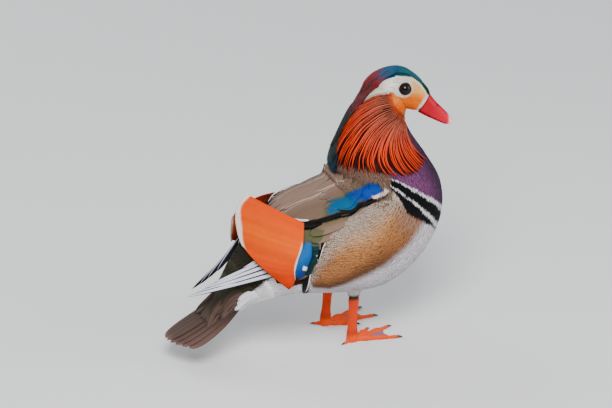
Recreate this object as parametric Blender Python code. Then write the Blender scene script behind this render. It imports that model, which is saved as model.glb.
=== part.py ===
"""Mandarin duck, a drake standing with its head turned a little to its right, life size.

The bird faces +X, its left side is +Y and +Z is up. Sizes are given in millimetres and turned into
metres where a mesh is made. The body from the tail root to the top of the neck is one loft, the
head a second one fused to it. Two thin cuts part them into torso, neck and head, and wings, sails,
flanks, tail, bill and legs are set on that same surface.
"""
import math

import bmesh
import bpy
from mathutils import Matrix, Vector
from mathutils.bvhtree import BVHTree

MM = 0.001
GAP = 0.3

# Rings of the trunk: centre x and z, pitch of the ring's normal in degrees, half width, reach to the
# back and reach to the belly.
TRUNK_RINGS = [
    (-124, 52, 32, 1, 1, 1),
    (-116, 56, 32, 13, 8, 6),
    (-104, 63, 31, 24, 16, 12),
    (-88, 72, 28, 34, 26, 20),
    (-64, 84, 22, 44, 38, 31),
    (-36, 94, 15, 51, 47, 44),
    (-10, 99, 12, 54, 51, 52),
    (16, 102, 25, 55, 57, 56),
    (36, 117, 45, 53, 61, 57),
    (45, 138, 62, 48, 57, 58),
    (44, 156, 76, 42, 52, 55),
    (37, 172, 88, 36, 45, 47),
    (32, 187, 96, 31, 37, 39),
    (32, 201, 98, 27, 31, 32),
    (36, 214, 92, 24, 27, 26),
    (42, 226, 80, 21, 23, 22),
    (48, 238, 72, 15, 16, 16),
    (52, 246, 70, 1, 1, 1),
]
TRUNK_STEPS = 30
TRUNK_SIDES = 22

# The head's own axes start midway between the eyes: forward, left and up.
HEAD_CENTRE = Vector((63.5, -2.0, 244.0))
HEAD_YAW = math.radians(-28)
HEAD_PITCH = math.radians(20)
# Rings of the head: forward, height of the centre, half width, reach up and reach down.
HEAD_RINGS = [
    (-36, -17, 1, 1, 1),
    (-33, -16, 8, 8, 8),
    (-27, -12.5, 13, 12.5, 13),
    (-18, -8, 16.5, 15.5, 16),
    (-9, -5.5, 17.6, 17, 18),
    (0, -5, 17.2, 16.4, 18.5),
    (9, -6, 15.0, 14.8, 16.5),
    (17, -8, 12.0, 13, 13),
    (23, -9.5, 9.6, 10.6, 10.4),
    (30, -11, 8.6, 8.4, 8.6),
]
HEAD_STEPS = 13
HEAD_SIDES = 18
EYE_RADIUS = 6.2
EYE_SPOT = Vector((1.0, 12.7, 0.0))
# The lids' ring: distance out from the eye's middle, radius, thickness, and points round it and across.
LID_OUT = 4.3
LID_RING = 5.3
LID_THICK = 1.0
LID_STEPS = 14
LID_SIDES = 6

# The face ends on a slanted line from the bill's ridge down to the gape.
BILL_RIDGE = Vector((24.2, 0, -1.4))
BILL_GAPE = Vector((21.0, 0, -17.4))
BILL_STEPS = 8
BILL_TIP_TOP = Vector((53.8, 0, -17.6))
BILL_TIP_LOW = Vector((52.6, 0, -20.6))
BILL_HALF_WIDTHS = [8.6, 8.3, 7.6, 7.0, 6.9, 6.4, 3.4]
# The bill across, as shares of its half width and its height.
BILL_OUTLINE = [
    (-1, 0), (-1, 0.28), (-0.86, 0.6), (-0.5, 0.88), (0, 1), (0.5, 0.88),
    (0.86, 0.6), (1, 0.28), (1, 0), (0.5, 0.03), (0, 0.05), (-0.5, 0.03),
]
MOUTH_LINE = 0.4
JAW_SHARE = 0.86
JAW_DEPTHS = [3.2, 3.0, 2.7, 2.4, 2.2, 1.9, 1.2]
NOSTRIL = (2.3, 1.0, 1.2)
NOSTRIL_SPOT = Vector((34.6, 5.7, -8.3))

# Planes of the two cuts: a point and how far the plane's normal leans forward from straight up.
NECK_CUT = (Vector((32, 0, 187)), math.radians(-6), 0.0)
HEAD_CUT = (Vector((54, -6, 222)), math.radians(24), math.radians(-20))

# The ruff springs from the cheeks and hangs over the shoulders. Each row is the place of a tip round
# the neck, in degrees from straight ahead, and its height.
NECK_AXIS_X = 36.0
CHEEK = Vector((4.8, 13.0, -29.0))
RUFF_TIPS = [
    (163, 181), (150, 175), (134, 173), (117, 172), (100, 170),
    (82, 169), (64, 171), (45, 177), (22, 182), (4, 184),
]
RUFF_RISE = 14.0
RUFF_WIDTH = 7.2
RUFF_ROLL = 9.0
RUFF_FLARE = 1.2
# Powers of the way: how early the hackles sweep round the neck and how late they fall.
RUFF_SWEEP = 1.7
RUFF_FALL = 1.6
# Tiers of the ruff: start and end between the cheek and the tips, feathers on a side, and lift.
RUFF_TIERS = [(0.30, 1.03, 15, 1.8), (0.19, 0.68, 9, 3.2)]
# Tiers of the crest: start and end along it as shares, feathers, half spread and lift.
CREST_TIERS = [(0.23, 0.99, 3, 5.5, 2.4), (0.05, 0.62, 4, 7.5, 2.8)]
CREST_WIDTH = 6.4
FEATHER_THICK = 1.1

# The folded wing on the trunk's surface: ring number and angles from the spine of its upper and lower
# edges, from the shoulder to the rump, and how far it stands off the trunk.
WING_EDGES = [
    (0.600, 60, 76, 1.2),
    (0.560, 24, 70, 3.0),
    (0.500, 9, 52, 4.0),
    (0.430, 5, 45, 5.5),
    (0.370, 4, 46, 5.5),
    (0.330, 4, 52, 5.5),
    (0.300, 4, 61, 6.5),
    (0.280, 4, 70, 7.0),
    (0.262, 5, 86, 6.0),
    (0.235, 8, 92, 4.5),
    (0.205, 14, 84, 2.5),
]

# Feathers of the folded wing: ring number and angle from the spine at the start and at the end, stand
# over the wing and width. Long scapulars come first, then the shorter tier over them, the shoulder,
# the lower coverts and the secondaries that close the wing's rear edge.
WING_FEATHERS = [
    ((0.43, 10), (0.268, 12), 1.4, 12),
    ((0.44, 20), (0.268, 23), 1.4, 12),
    ((0.46, 31), (0.280, 35), 1.4, 12),
    ((0.51, 13), (0.338, 13), 2.5, 13),
    ((0.54, 25), (0.345, 23), 2.5, 13),
    ((0.56, 37), (0.365, 33), 2.5, 13),
    ((0.585, 55), (0.44, 41), 1.6, 11),
    ((0.40, 43), (0.287, 50), 1.2, 11),
    ((0.340, 51), (0.270, 64), 1.2, 11),
    ((0.292, 70), (0.238, 80), 1.4, 11),
]

# The flank feathers cover the wing's lower edge: ring number, upper angle from the spine and lower one.
FLANK_EDGES = [
    (0.590, 79, 100),
    (0.550, 72, 112),
    (0.500, 55, 118),
    (0.440, 47.5, 122),
    (0.380, 48.5, 126),
    (0.335, 54.5, 130),
    (0.305, 63.5, 134),
    (0.285, 72.5, 138),
    (0.268, 88, 142),
]
FLANK_LIFT = 3.6
FLANK_FEATHERS = 7
FLANK_WIDTH = 12.0
FLANK_ROLL = 6.0

# The sails: ring number, angle from the spine and lift of points along the shaft, then points of the
# right sail's free rim from the high finger to the foot.
SAIL_SHAFT = [(0.292, 40, 10.0), (0.276, 57, 10.4), (0.260, 72, 9.6), (0.240, 86, 7.6)]
SAIL_RIM = [
    Vector((-99, -19, 166)),
    Vector((-108, -17, 152)),
    Vector((-108, -17, 132)),
    Vector((-103, -22, 113)),
    Vector((-91, -42, 98)),
    Vector((-71, -54, 80)),
]
SAIL_THICK = 0.9
# The left sail lies lower and further in than the right one, and its top corner is rounder.
LEFT_SAIL_SHIFT = Vector((8, -7, -27))

TAIL_ROOT = Vector((-98, 0, 60))
TAIL_SLOPE = math.radians(27.6)
TAIL_LENGTH = 82.0
TAIL_HALF_WIDTH = 29.0
TAIL_DROOP = 0.009
TAIL_FEATHERS = 10
TAIL_WIDTH = 13.0
# Height of the fan's core over and under its middle.
TAIL_TOP = 0.9
TAIL_UNDER = 1.1

# Primaries of the folded wing, upper one first: ring number and angle from the spine of the root, and
# the tip on the bird's left.
PRIMARIES = [
    (0.235, 42, Vector((-112, 24, 90))),
    (0.238, 51, Vector((-130, 19, 82))),
    (0.241, 60, Vector((-140, 17, 77))),
    (0.244, 68, Vector((-148, 16, 73))),
    (0.247, 76, Vector((-156, 15, 70))),
]
PRIMARY_STAND = 2.2
# The left wing lies further forward and lower than the right one.
LEFT_TIPS_SHIFT = Vector((15, -3, -6))
PRIMARY_WIDTH = 8.0

ANKLES = {"right": Vector((7, -18, 45)), "left": Vector((-3, 21, 45))}
FOOT_ROOTS = {"right": Vector((5, -18.5, 0)), "left": Vector((-5, 24, 0))}
# Rings of a thigh over its ankle: height, shift ahead, reach ahead and reach to the side.
THIGH_RINGS = [(24, 2, 12, 10), (10, 1, 9.5, 8), (3, 0, 7, 6), (0, 0, 5.2, 4.2)]
# Rings of a shank: share of the way up to the ankle and share of the full depth and width.
SHANK_LEVELS = [(1.0, 1.0), (0.9, 1.12), (0.75, 0.98), (0.4, 0.95), (0.15, 1.0), (0.0, 1.15)]
SHANK_DEPTH = 4.7
SHANK_WIDTH = 3.3
FOOT_TOP = 8.0
# Toes: angle from straight ahead in degrees, towards the left, and length without the claw.
TOES = {
    "right": {"outer": (-12, 43), "middle": (20, 44), "inner": (38, 27), "hind": (205, 11)},
    "left": {"inner": (-22, 28), "middle": (0, 48), "outer": (26, 46), "hind": (155, 11)},
}
CLAW_LENGTH = 5.5
WEB_THICK = 1.4
TOE_STEPS = 6
# How far the toes and webs reach below the floor before the sole is cut flat.
SOLE_SPARE = 1.5

COLOURS = {
    "bill": (0.75, 0.04, 0.09),
    "crest": (0.02, 0.10, 0.10),
    "eye": (0.01, 0.008, 0.008),
    "ruff": (0.62, 0.13, 0.03),
    "breast": (0.09, 0.02, 0.06),
    "wing": (0.13, 0.09, 0.06),
    "sail": (0.85, 0.27, 0.05),
    "tail": (0.15, 0.10, 0.08),
    "leg": (0.85, 0.25, 0.06),
    "thigh": (0.35, 0.32, 0.30),
    "claw": (0.06, 0.05, 0.05),
}


def smooth(rows, t):
    """Values of the rows at t, from 0 to 1, on a Catmull-Rom curve through them."""
    last = len(rows) - 1
    place = min(max(t, 0.0), 1.0) * last
    i = min(int(place), last - 1)
    f = place - i
    ahead = rows[min(i + 2, last)]
    quads = zip(rows[max(i - 1, 0)], rows[i], rows[i + 1], ahead)
    return [
        0.5 * (2 * q + (r - p) * f + (2 * p - 5 * q + 4 * r - s) * f * f + (3 * q - p - 3 * r + s) * f ** 3)
        for p, q, r, s in quads
    ]


def along(points, t):
    """A point at t, from 0 to 1, on a smooth curve through the points."""
    return Vector(smooth([tuple(p) for p in points], t))


def between(rows, key):
    """Straight-line values of rows whose first number falls from row to row, at that number."""
    for a, b in zip(rows, rows[1:]):
        if key >= b[0]:
            f = (a[0] - key) / (a[0] - b[0])
            return [p + (q - p) * f for p, q in zip(a, b)]
    return list(rows[-1])


def material(name):
    """The material of that name, made once."""
    found = bpy.data.materials.get(name)
    if found:
        return found
    made = bpy.data.materials.new(name)
    made.use_nodes = True
    shader = made.node_tree.nodes["Principled BSDF"]
    shader.inputs["Base Color"].default_value = (*COLOURS[name], 1)
    shader.inputs["Roughness"].default_value = 0.2 if name == "eye" else 0.6
    shader.inputs["Metallic"].default_value = 0.0
    return made


def mesh_object(name, points, faces, finish):
    """A closed mesh of points in millimetres, facing out, with its material."""
    mesh = bpy.data.meshes.new(name)
    mesh.from_pydata([tuple(Vector(p) * MM) for p in points], [], faces)
    bm = bmesh.new()
    bm.from_mesh(mesh)
    bmesh.ops.recalc_face_normals(bm, faces=bm.faces)
    bm.to_mesh(mesh)
    bm.free()
    mesh.materials.append(material(finish))
    obj = bpy.data.objects.new(name, mesh)
    COLLECTION.objects.link(obj)
    return obj


def tube(name, rings, finish):
    """A closed loft through rings of equal count, with a fan over each end."""
    count = len(rings[0])
    points = [p for ring in rings for p in ring]
    faces = []
    for r in range(len(rings) - 1):
        for i in range(count):
            a = r * count + i
            b = r * count + (i + 1) % count
            faces += [(a, b, b + count), (a, b + count, a + count)]
    for start, ring in ((0, rings[0]), ((len(rings) - 1) * count, rings[-1])):
        hub = len(points)
        points.append(sum((Vector(p) for p in ring), Vector()) / count)
        faces += [(start + i, start + (i + 1) % count, hub) for i in range(count)]
    return mesh_object(name, points, faces, finish)


def slab(name, top, bottom, across, down, finish):
    """A closed sheet between two surfaces over the unit square, split alike on both faces."""
    points = []
    for surface in (top, bottom):
        for i in range(across + 1):
            points += [surface(i / across, j / down) for j in range(down + 1)]
    half = (across + 1) * (down + 1)
    faces = []
    for i in range(across):
        for j in range(down):
            a = i * (down + 1) + j
            b, c, d = a + 1, a + down + 2, a + down + 1
            faces += [(a, b, c), (a, c, d), (a + half, c + half, b + half), (a + half, d + half, c + half)]
    rim = [i * (down + 1) for i in range(across + 1)]
    rim += [across * (down + 1) + j for j in range(1, down + 1)]
    rim += [i * (down + 1) + down for i in range(across - 1, -1, -1)]
    rim += list(range(down - 1, 0, -1))
    for a, b in zip(rim, rim[1:] + rim[:1]):
        faces += [(a, b, b + half), (a, b + half, a + half)]
    return mesh_object(name, points, faces, finish)


def replace_mesh(obj, mesh):
    """Gives the object this mesh, with its materials, and drops the old one."""
    old = obj.data
    finishes = list(old.materials)
    obj.data = mesh
    if not mesh.materials:
        for finish in finishes:
            mesh.materials.append(finish)
    obj.modifiers.clear()
    bpy.data.meshes.remove(old)


def evaluated(obj):
    """A mesh of the object with its modifiers applied."""
    bpy.context.view_layer.update()
    graph = bpy.context.evaluated_depsgraph_get()
    return bpy.data.meshes.new_from_object(obj.evaluated_get(graph))


def keep_largest(obj):
    """Keeps the object's largest closed surface."""
    bm = bmesh.new()
    bm.from_mesh(obj.data)
    bmesh.ops.triangulate(bm, faces=bm.faces)
    bm.faces.ensure_lookup_table()
    left = set(bm.faces)
    best = []
    while left:
        start = left.pop()
        shell, queue = [start], [start]
        while queue:
            for edge in queue.pop().edges:
                for face in edge.link_faces:
                    if face in left:
                        left.remove(face)
                        shell.append(face)
                        queue.append(face)
        if sum(f.calc_area() for f in shell) > sum(f.calc_area() for f in best):
            best = shell
    kept = set(best)
    bmesh.ops.delete(bm, geom=[f for f in bm.faces if f not in kept], context="FACES")
    bmesh.ops.delete(bm, geom=[v for v in bm.verts if not v.link_faces], context="VERTS")
    bm.to_mesh(obj.data)
    bm.free()
    return obj


def drop(obj):
    """Removes an object and its mesh."""
    mesh = obj.data
    bpy.data.objects.remove(obj, do_unlink=True)
    bpy.data.meshes.remove(mesh)


def fuse(body, pieces):
    """One Boolean union of the body with the pieces, which are then removed."""
    if not pieces:
        return body
    group = bpy.data.collections.new("pieces")
    bpy.context.scene.collection.children.link(group)
    for piece in pieces:
        group.objects.link(piece)
    union = body.modifiers.new("union", "BOOLEAN")
    union.operation = "UNION"
    union.operand_type = "COLLECTION"
    union.collection = group
    union.solver = "MANIFOLD"
    replace_mesh(body, evaluated(body))
    for piece in pieces:
        drop(piece)
    bpy.data.collections.remove(group)
    return keep_largest(body)


def carve(body, cutter, keep_cutter=False):
    """Cuts the cutter's shape out of the body."""
    cut = body.modifiers.new("cut", "BOOLEAN")
    cut.operation = "DIFFERENCE"
    cut.object = cutter
    cut.solver = "MANIFOLD"
    replace_mesh(body, evaluated(body))
    if not keep_cutter:
        drop(cutter)
    return keep_largest(body)


def slice_off(obj, point, normal):
    """Cuts the object with a plane and closes the cut, keeping what lies behind the plane."""
    bm = bmesh.new()
    bm.from_mesh(obj.data)
    everything = bm.verts[:] + bm.edges[:] + bm.faces[:]
    bmesh.ops.bisect_plane(
        bm, geom=everything, dist=1e-7, plane_co=point * MM, plane_no=normal, clear_outer=True
    )
    rim = [e for e in bm.edges if e.is_boundary]
    bmesh.ops.triangulate(bm, faces=bmesh.ops.edgeloop_fill(bm, edges=rim)["faces"])
    bmesh.ops.recalc_face_normals(bm, faces=bm.faces)
    bm.to_mesh(obj.data)
    bm.free()
    return keep_largest(obj)


def duplicate(obj, name, finish=None):
    """A copy of the object with a mesh of its own."""
    copy = bpy.data.objects.new(name, obj.data.copy())
    COLLECTION.objects.link(copy)
    if finish:
        copy.data.materials.clear()
        copy.data.materials.append(material(finish))
    return copy


def mirrored(point, side):
    """The point on the bird's right (side -1) or left (side 1), given for the left."""
    return Vector((point[0], side * point[1], point[2]))


def trunk_point(t, angle, lift=0.0):
    """A point on the trunk at t and at an angle from the spine, in degrees, towards the left."""
    x, z, pitch, wide, back, belly = smooth(TRUNK_RINGS, t)
    a = math.radians(angle)
    reach = back if math.cos(a) > 0 else belly
    up = (reach + lift) * math.cos(a)
    pitch = math.radians(pitch)
    return Vector((x - up * math.sin(pitch), (wide + lift) * math.sin(a), z + up * math.cos(pitch)))


def trunk(name, lift, finish):
    """The whole trunk, grown by lift."""
    rings = []
    for r in range(TRUNK_STEPS + 1):
        t = r / TRUNK_STEPS
        rings.append([trunk_point(t, 360 * i / TRUNK_SIDES, lift) for i in range(TRUNK_SIDES)])
    return tube(name, rings, finish)


HEAD_TURN = Matrix.Rotation(HEAD_YAW, 3, "Z") @ Matrix.Rotation(HEAD_PITCH, 3, "Y")


def in_head(spot, side=1):
    """A point given in the head's own axes, mirrored for side -1."""
    return HEAD_CENTRE + HEAD_TURN @ mirrored(spot, side)


def skull(name, finish):
    """The feathered head without its bill."""
    rings = []
    for r in range(HEAD_STEPS + 1):
        forward, height, wide, up, down = smooth(HEAD_RINGS, r / HEAD_STEPS)
        ring = []
        for i in range(HEAD_SIDES):
            a = 2 * math.pi * i / HEAD_SIDES
            reach = up if math.cos(a) > 0 else down
            ring.append(in_head(Vector((forward, wide * math.sin(a), height + reach * math.cos(a)))))
        rings.append(ring)
    return tube(name, rings, finish)


def plane_of(cut):
    """Point and normal of a cutting plane."""
    point, lean, turn = cut
    normal = Matrix.Rotation(turn, 3, "Z") @ Vector((math.sin(lean), 0, math.cos(lean)))
    return point, normal


def surface_finder(whole):
    """A finder of points on the bird's surface, seen from outside towards an inner point."""
    bm = bmesh.new()
    bm.from_mesh(whole.data)
    tree = BVHTree.FromBMesh(bm)
    bm.free()

    def find(inner, out):
        """The point of the surface out from an inner point, and the surface's normal there."""
        out = out.normalized()
        spot, normal, _, _ = tree.ray_cast((inner + out * 90) * MM, -out)
        return spot / MM, normal

    return find


def vane(path, width, thick, finish, profile, roll=0.0, camber=0.0):
    """A flat feather that follows the path, a list of middle points and outward normals.

    The profile gives the share of the width at s from root to tip. A roll, in degrees, lays one edge
    under the next feather, and a camber drops both edges.
    """
    last = len(path) - 1
    rings = []
    for i, (spot, normal) in enumerate(path):
        s = i / last
        run = (path[min(i + 1, last)][0] - path[max(i - 1, 0)][0]).normalized()
        across = run.cross(normal).normalized()
        up = across.cross(run).normalized()
        turn = Matrix.Rotation(math.radians(roll), 3, run)
        across, up = turn @ across, turn @ up
        half = 0.5 * width * profile(s) + 0.2
        deep = 0.5 * thick * (1 - 0.45 * s)
        fall = camber * profile(s)
        outline = [(-half, -fall - deep), (0, deep), (half, -fall - deep)]
        rings.append([spot + across * x + up * y for x, y in outline])
    return tube("vane", rings, finish)


def hackle_profile(s):
    """A lance: narrow root, widest past its middle, pointed tip."""
    return (0.45 + 0.85 * s) * max(1 - s ** 4, 0.0) ** 0.5


def broad_profile(s):
    """A covering feather with a rounded tip."""
    return (0.7 + 0.3 * min(s * 3, 1)) * max(1 - s ** 5, 0.0) ** 0.5


def flight_profile(s):
    """A long flight feather that narrows to its tip."""
    return (1 - 0.35 * s) * max(1 - s ** 6, 0.0) ** 0.5


def ruff_path(find, side, k, first, last, lift, steps=4):
    """Path of a ruff feather: k from the rear edge (0) to the front (1), first to last the share of the
    way from the cheek to the tips that it covers.
    """
    heading, height = along([(a, b, 0) for a, b in RUFF_TIPS], k)[:2]
    cheek = in_head(CHEEK, side)
    start = math.degrees(math.atan2(cheek.y, cheek.x - NECK_AXIS_X))
    path = []
    for i in range(steps + 1):
        s = min(first + (last - first) * i / steps, 1.0)
        place = math.radians(start + (side * heading - start) * (1 - (1 - s) ** RUFF_SWEEP))
        rise = RUFF_RISE * (1 - k) ** 1.5 * math.sin(math.pi * s) ** 0.8
        inner = Vector((NECK_AXIS_X, 0, cheek.z + (height - cheek.z) * s ** RUFF_FALL + rise))
        spot, normal = find(inner, Vector((math.cos(place), math.sin(place), 0)))
        path.append((spot + normal * (-1.2 if i == 0 else lift + RUFF_FLARE * s), normal))
    return path


def ruff(find, side):
    """The hackles of one side in tiers, the short ones under the long ones."""
    pieces = []
    for first, last, count, lift in RUFF_TIERS:
        for i in range(count):
            k = (i + 0.5) / count
            path = ruff_path(find, side, k, first, last - 0.03 * (1 + math.sin(7.3 * i)), lift)
            roll = RUFF_ROLL * side
            pieces.append(vane(path, RUFF_WIDTH, FEATHER_THICK, "ruff", hackle_profile, roll))
    return pieces


def crest_lines():
    """Inner points and outward directions along the crest, from the crown to the nape."""
    hub = in_head(Vector((-8, 0, -6)))
    rows = []
    for tilt in (50, 95, 140):
        a = math.radians(tilt)
        rows.append((hub, HEAD_TURN @ Vector((math.cos(a), 0, math.sin(a)))))
    rows.append((Vector((46, 3, 232)), HEAD_TURN @ Vector((-0.95, 0, 0.3))))
    rows.append((Vector((40, 2, 218)), Vector((-0.97, 0.2, 0.1))))
    rows.append((Vector((36, 0, 200)), Vector((-1, 0.05, 0.05))))
    rows.append((Vector((34, 0, 177)), Vector((-1, 0, 0))))
    return [(*inner, *out) for inner, out in rows]


def crest_path(find, across, first, last, lift, steps=6):
    """Path of a crest feather: across in millimetres to the left, first and last along the crest."""
    path = []
    for i in range(steps + 1):
        s = first + (last - first) * i / steps
        row = smooth(crest_lines(), s)
        inner, out = Vector(row[:3]), Vector(row[3:])
        left = Vector((0, 1, 0)).lerp(HEAD_TURN @ Vector((0, 1, 0)), max(0.0, 1 - 1.4 * s)).normalized()
        spot, normal = find(inner + left * across * (1 - 0.35 * s), out)
        path.append((spot + normal * (-1.4 if i == 0 else lift * (0.5 + 0.5 * min(1, 2 * s))), normal))
    return path


def crest(find):
    """The crest's feathers, from the crown down the nape, the longest in the middle."""
    pieces = []
    for first, last, count, spread, lift in CREST_TIERS:
        for i in range(count):
            across = spread * (2 * i / (count - 1) - 1)
            end = last - 0.15 * (across / spread) ** 2
            path = crest_path(find, across, first, end, lift + 0.5 * (1 - abs(across / spread)))
            pieces.append(vane(path, CREST_WIDTH, FEATHER_THICK, "crest", broad_profile, camber=0.2))
    return pieces


def ball(name, centre, radii, turn, finish, segments=12, rings=8):
    """An ellipsoid from a UV sphere, with its place in its mesh."""
    bm = bmesh.new()
    bmesh.ops.create_uvsphere(bm, u_segments=segments, v_segments=rings, radius=1.0)
    shape = Matrix.Translation(centre * MM) @ turn.to_4x4() @ Matrix.Diagonal((*(Vector(radii) * MM), 1))
    bmesh.ops.transform(bm, matrix=shape, verts=bm.verts)
    bmesh.ops.triangulate(bm, faces=bm.faces)
    mesh = bpy.data.meshes.new(name)
    bm.to_mesh(mesh)
    bm.free()
    mesh.materials.append(material(finish))
    obj = bpy.data.objects.new(name, mesh)
    COLLECTION.objects.link(obj)
    return obj


def lid(side):
    """The ring of lids round one eye."""
    centre = EYE_SPOT + Vector((0, LID_OUT, 0))
    points = []
    for i in range(LID_STEPS):
        a = 2 * math.pi * i / LID_STEPS
        out = Vector((math.cos(a), 0, math.sin(a)))
        for j in range(LID_SIDES):
            b = 2 * math.pi * j / LID_SIDES
            raised = Vector((0, LID_THICK * math.sin(b), 0))
            points.append(in_head(centre + out * (LID_RING + LID_THICK * math.cos(b)) + raised, side))
    count = len(points)
    faces = []
    for i in range(LID_STEPS):
        for j in range(LID_SIDES):
            a, b = i * LID_SIDES + j, i * LID_SIDES + (j + 1) % LID_SIDES
            c, d = (a + LID_SIDES) % count, (b + LID_SIDES) % count
            faces += [(a, b, d), (a, d, c)]
    return mesh_object("lid", points, faces, "crest")


def make_eyes(head):
    """The eyes, in sockets cut into the head and its lids."""
    lids = [lid(side) for side in (-1, 1)]
    fuse(head, lids)
    for side, word in ((-1, "right"), (1, "left")):
        centre = in_head(EYE_SPOT, side)
        carve(head, ball("socket", centre, [EYE_RADIUS + GAP] * 3, HEAD_TURN, "eye"))
        ball(f"eye_{word}", centre, [EYE_RADIUS] * 3, HEAD_TURN, "eye")


def bill_ring(low, high, half):
    """A ring of the bill between a lower and an upper point, by its half width."""
    return [
        in_head(low + (high - low) * rise + Vector((GAP, across * half, 0)))
        for across, rise in BILL_OUTLINE
    ]


def make_bill(head):
    """Both halves of the bill, parted along the line of the mouth, with nostrils."""
    slant = (BILL_RIDGE - BILL_GAPE).normalized()
    face_normal = HEAD_TURN @ Vector((slant.z, 0, -slant.x))
    slice_off(head, in_head(BILL_RIDGE), face_normal)
    upper, lower = [], []
    for i in range(BILL_STEPS + 1):
        s = i / BILL_STEPS
        half = smooth([(w,) for w in BILL_HALF_WIDTHS], s)[0]
        deep = smooth([(w,) for w in JAW_DEPTHS], s)[0]
        high = BILL_RIDGE + (BILL_TIP_TOP - BILL_RIDGE) * s
        high.z += -1.6 * math.sin(math.pi * s) * (1 - s) + 1.1 * math.sin(math.pi * s) ** 3 * s
        low = BILL_GAPE + (BILL_TIP_LOW - BILL_GAPE) * s
        low.z += -0.8 * math.sin(math.pi * s)
        upper.append(bill_ring(low, high, half))
        if i < BILL_STEPS:
            under = low - Vector((0.25, 0, MOUTH_LINE))
            lower.append(bill_ring(under, under - Vector((0.6, 0, deep)), half * JAW_SHARE))
    bill = tube("bill_upper", upper, "bill")
    for side in (-1, 1):
        turn = HEAD_TURN @ Matrix.Rotation(math.radians(35), 3, "Y")
        carve(bill, ball("nostril", in_head(NOSTRIL_SPOT, side), NOSTRIL, turn, "bill", 8, 6))
    tube("bill_lower", lower, "bill")


def flank_row(u):
    """Ring number, upper and lower angle of the flank at u, from its front (0) to its rear (1)."""
    first, last = FLANK_EDGES[0][0], FLANK_EDGES[-1][0]
    return between(FLANK_EDGES, first + (last - first) * u)


def flank(side):
    """The long side feathers: a swelling of the body, and the feathers along its edge at the wing."""
    def surface(u, v, lift):
        t, upper, lower = flank_row(u)
        return trunk_point(t, side * (upper + (lower - upper) * v), lift)

    def top(u, v):
        edge = min(1.0, u * 5) * (1 - v) ** 0.7
        return surface(u, 0.06 + 0.94 * v, (FLANK_LIFT - 1.2) * edge - 0.8 * (1 - edge))

    def bottom(u, v):
        return surface(u, 0.06 + 0.94 * v, -2.0)

    pieces = [slab("flank", top, bottom, 10, 4, "breast")]
    for i in range(FLANK_FEATHERS):
        t, upper, _ = flank_row((i + 0.7) / FLANK_FEATHERS)
        path = []
        for j in range(5):
            s = j / 4
            place = (t + 0.035 * (1 - s) + 0.004, side * (upper + 17 * (1 - s)), FLANK_LIFT * s ** 0.6 - 0.4)
            path.append(trunk_frame(*place))
        roll = -FLANK_ROLL * side
        pieces.append(vane(path, FLANK_WIDTH, FEATHER_THICK, "breast", broad_profile, roll, camber=0.5))
    return pieces


def trunk_frame(t, angle, lift):
    """A point on the trunk raised by lift, with the outward normal."""
    spot = trunk_point(t, angle, lift)
    ahead = trunk_point(t + 0.004, angle, lift) - trunk_point(t - 0.004, angle, lift)
    around = trunk_point(t, angle + 1, lift) - trunk_point(t, angle - 1, lift)
    return spot, around.cross(ahead).normalized()


def wing_surface(side, u, v, share):
    """A point of the folded wing at a share of its thickness."""
    first, last = WING_EDGES[0][0], WING_EDGES[-1][0]
    t, upper, lower, lift = between(WING_EDGES, first + (last - first) * u)
    crown = 1.0 + (lift - 1.0) * min(1.0, 3.5 * min(v, 1 - v) + 0.25)
    low = GAP + 0.1
    return trunk_point(t, side * (upper + (lower - upper) * v), low + (crown - low) * share)


def wing_feather(side, start, end, stand, width, thick=FEATHER_THICK, steps=4):
    """A feather on the folded wing from start to end, each a ring number and an angle from the spine."""
    path = []
    for i in range(steps + 1):
        s = i / steps
        t = start[0] + (end[0] - start[0]) * s
        angle = start[1] + (end[1] - start[1]) * s
        lift = between(WING_EDGES, t)[3]
        path.append(trunk_frame(t, side * angle, lift - 1.8 + (stand + 1.8) * min(1, 3 * s)))
    return vane(path, width, thick, "wing", broad_profile, roll=5 * side, camber=0.25)


def primary(side, t, angle, tip):
    """One primary of the folded wing, straight from the wing's rear edge to its tip."""
    root, up = trunk_frame(t, side * angle, PRIMARY_STAND)
    up = (up + Vector((0, side * 0.5, 0.5))).normalized()
    tip = mirrored(tip, side)
    if side > 0:
        tip += LEFT_TIPS_SHIFT
    path = [(root + (tip - root) * i / 5, up) for i in range(6)]
    return vane(path, PRIMARY_WIDTH, 1.2, "wing", flight_profile, roll=10 * side)


def make_wing(side, word):
    """The folded wing: tiers of covering feathers over the back and the tips of its primaries."""
    wing = slab(
        f"wing_{word}",
        lambda u, v: wing_surface(side, u, v, 1.0),
        lambda u, v: wing_surface(side, u, v, 0.0),
        12, 5, "wing",
    )
    pieces = [wing_feather(side, *row) for row in WING_FEATHERS]
    pieces += [primary(side, *row) for row in PRIMARIES]
    fuse(wing, pieces)
    carve(wing, trunk("trunk_room", GAP, "wing"))
    return wing


def make_sail(side, word):
    """The wide inner web of the innermost long feather, raised like a sail."""
    def surface(u, v, lift):
        t, angle, stand = smooth(SAIL_SHAFT, v)
        root = trunk_point(t, side * angle, stand)
        rim = mirrored(along(SAIL_RIM, v), -side)
        if side > 0:
            rim += LEFT_SAIL_SHIFT * (1 - v)
        out = Vector((-0.1, side * 1.0, 0.1)).normalized()
        bulge = 4.0 * math.sin(math.pi * u) * (1 - 0.3 * v)
        return root + (rim - root) * u + out * (bulge + lift)

    thick = SAIL_THICK / 2
    slab(f"sail_{word}", lambda u, v: surface(u, v, thick), lambda u, v: surface(u, v, -thick), 6, 8, "sail")


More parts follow.
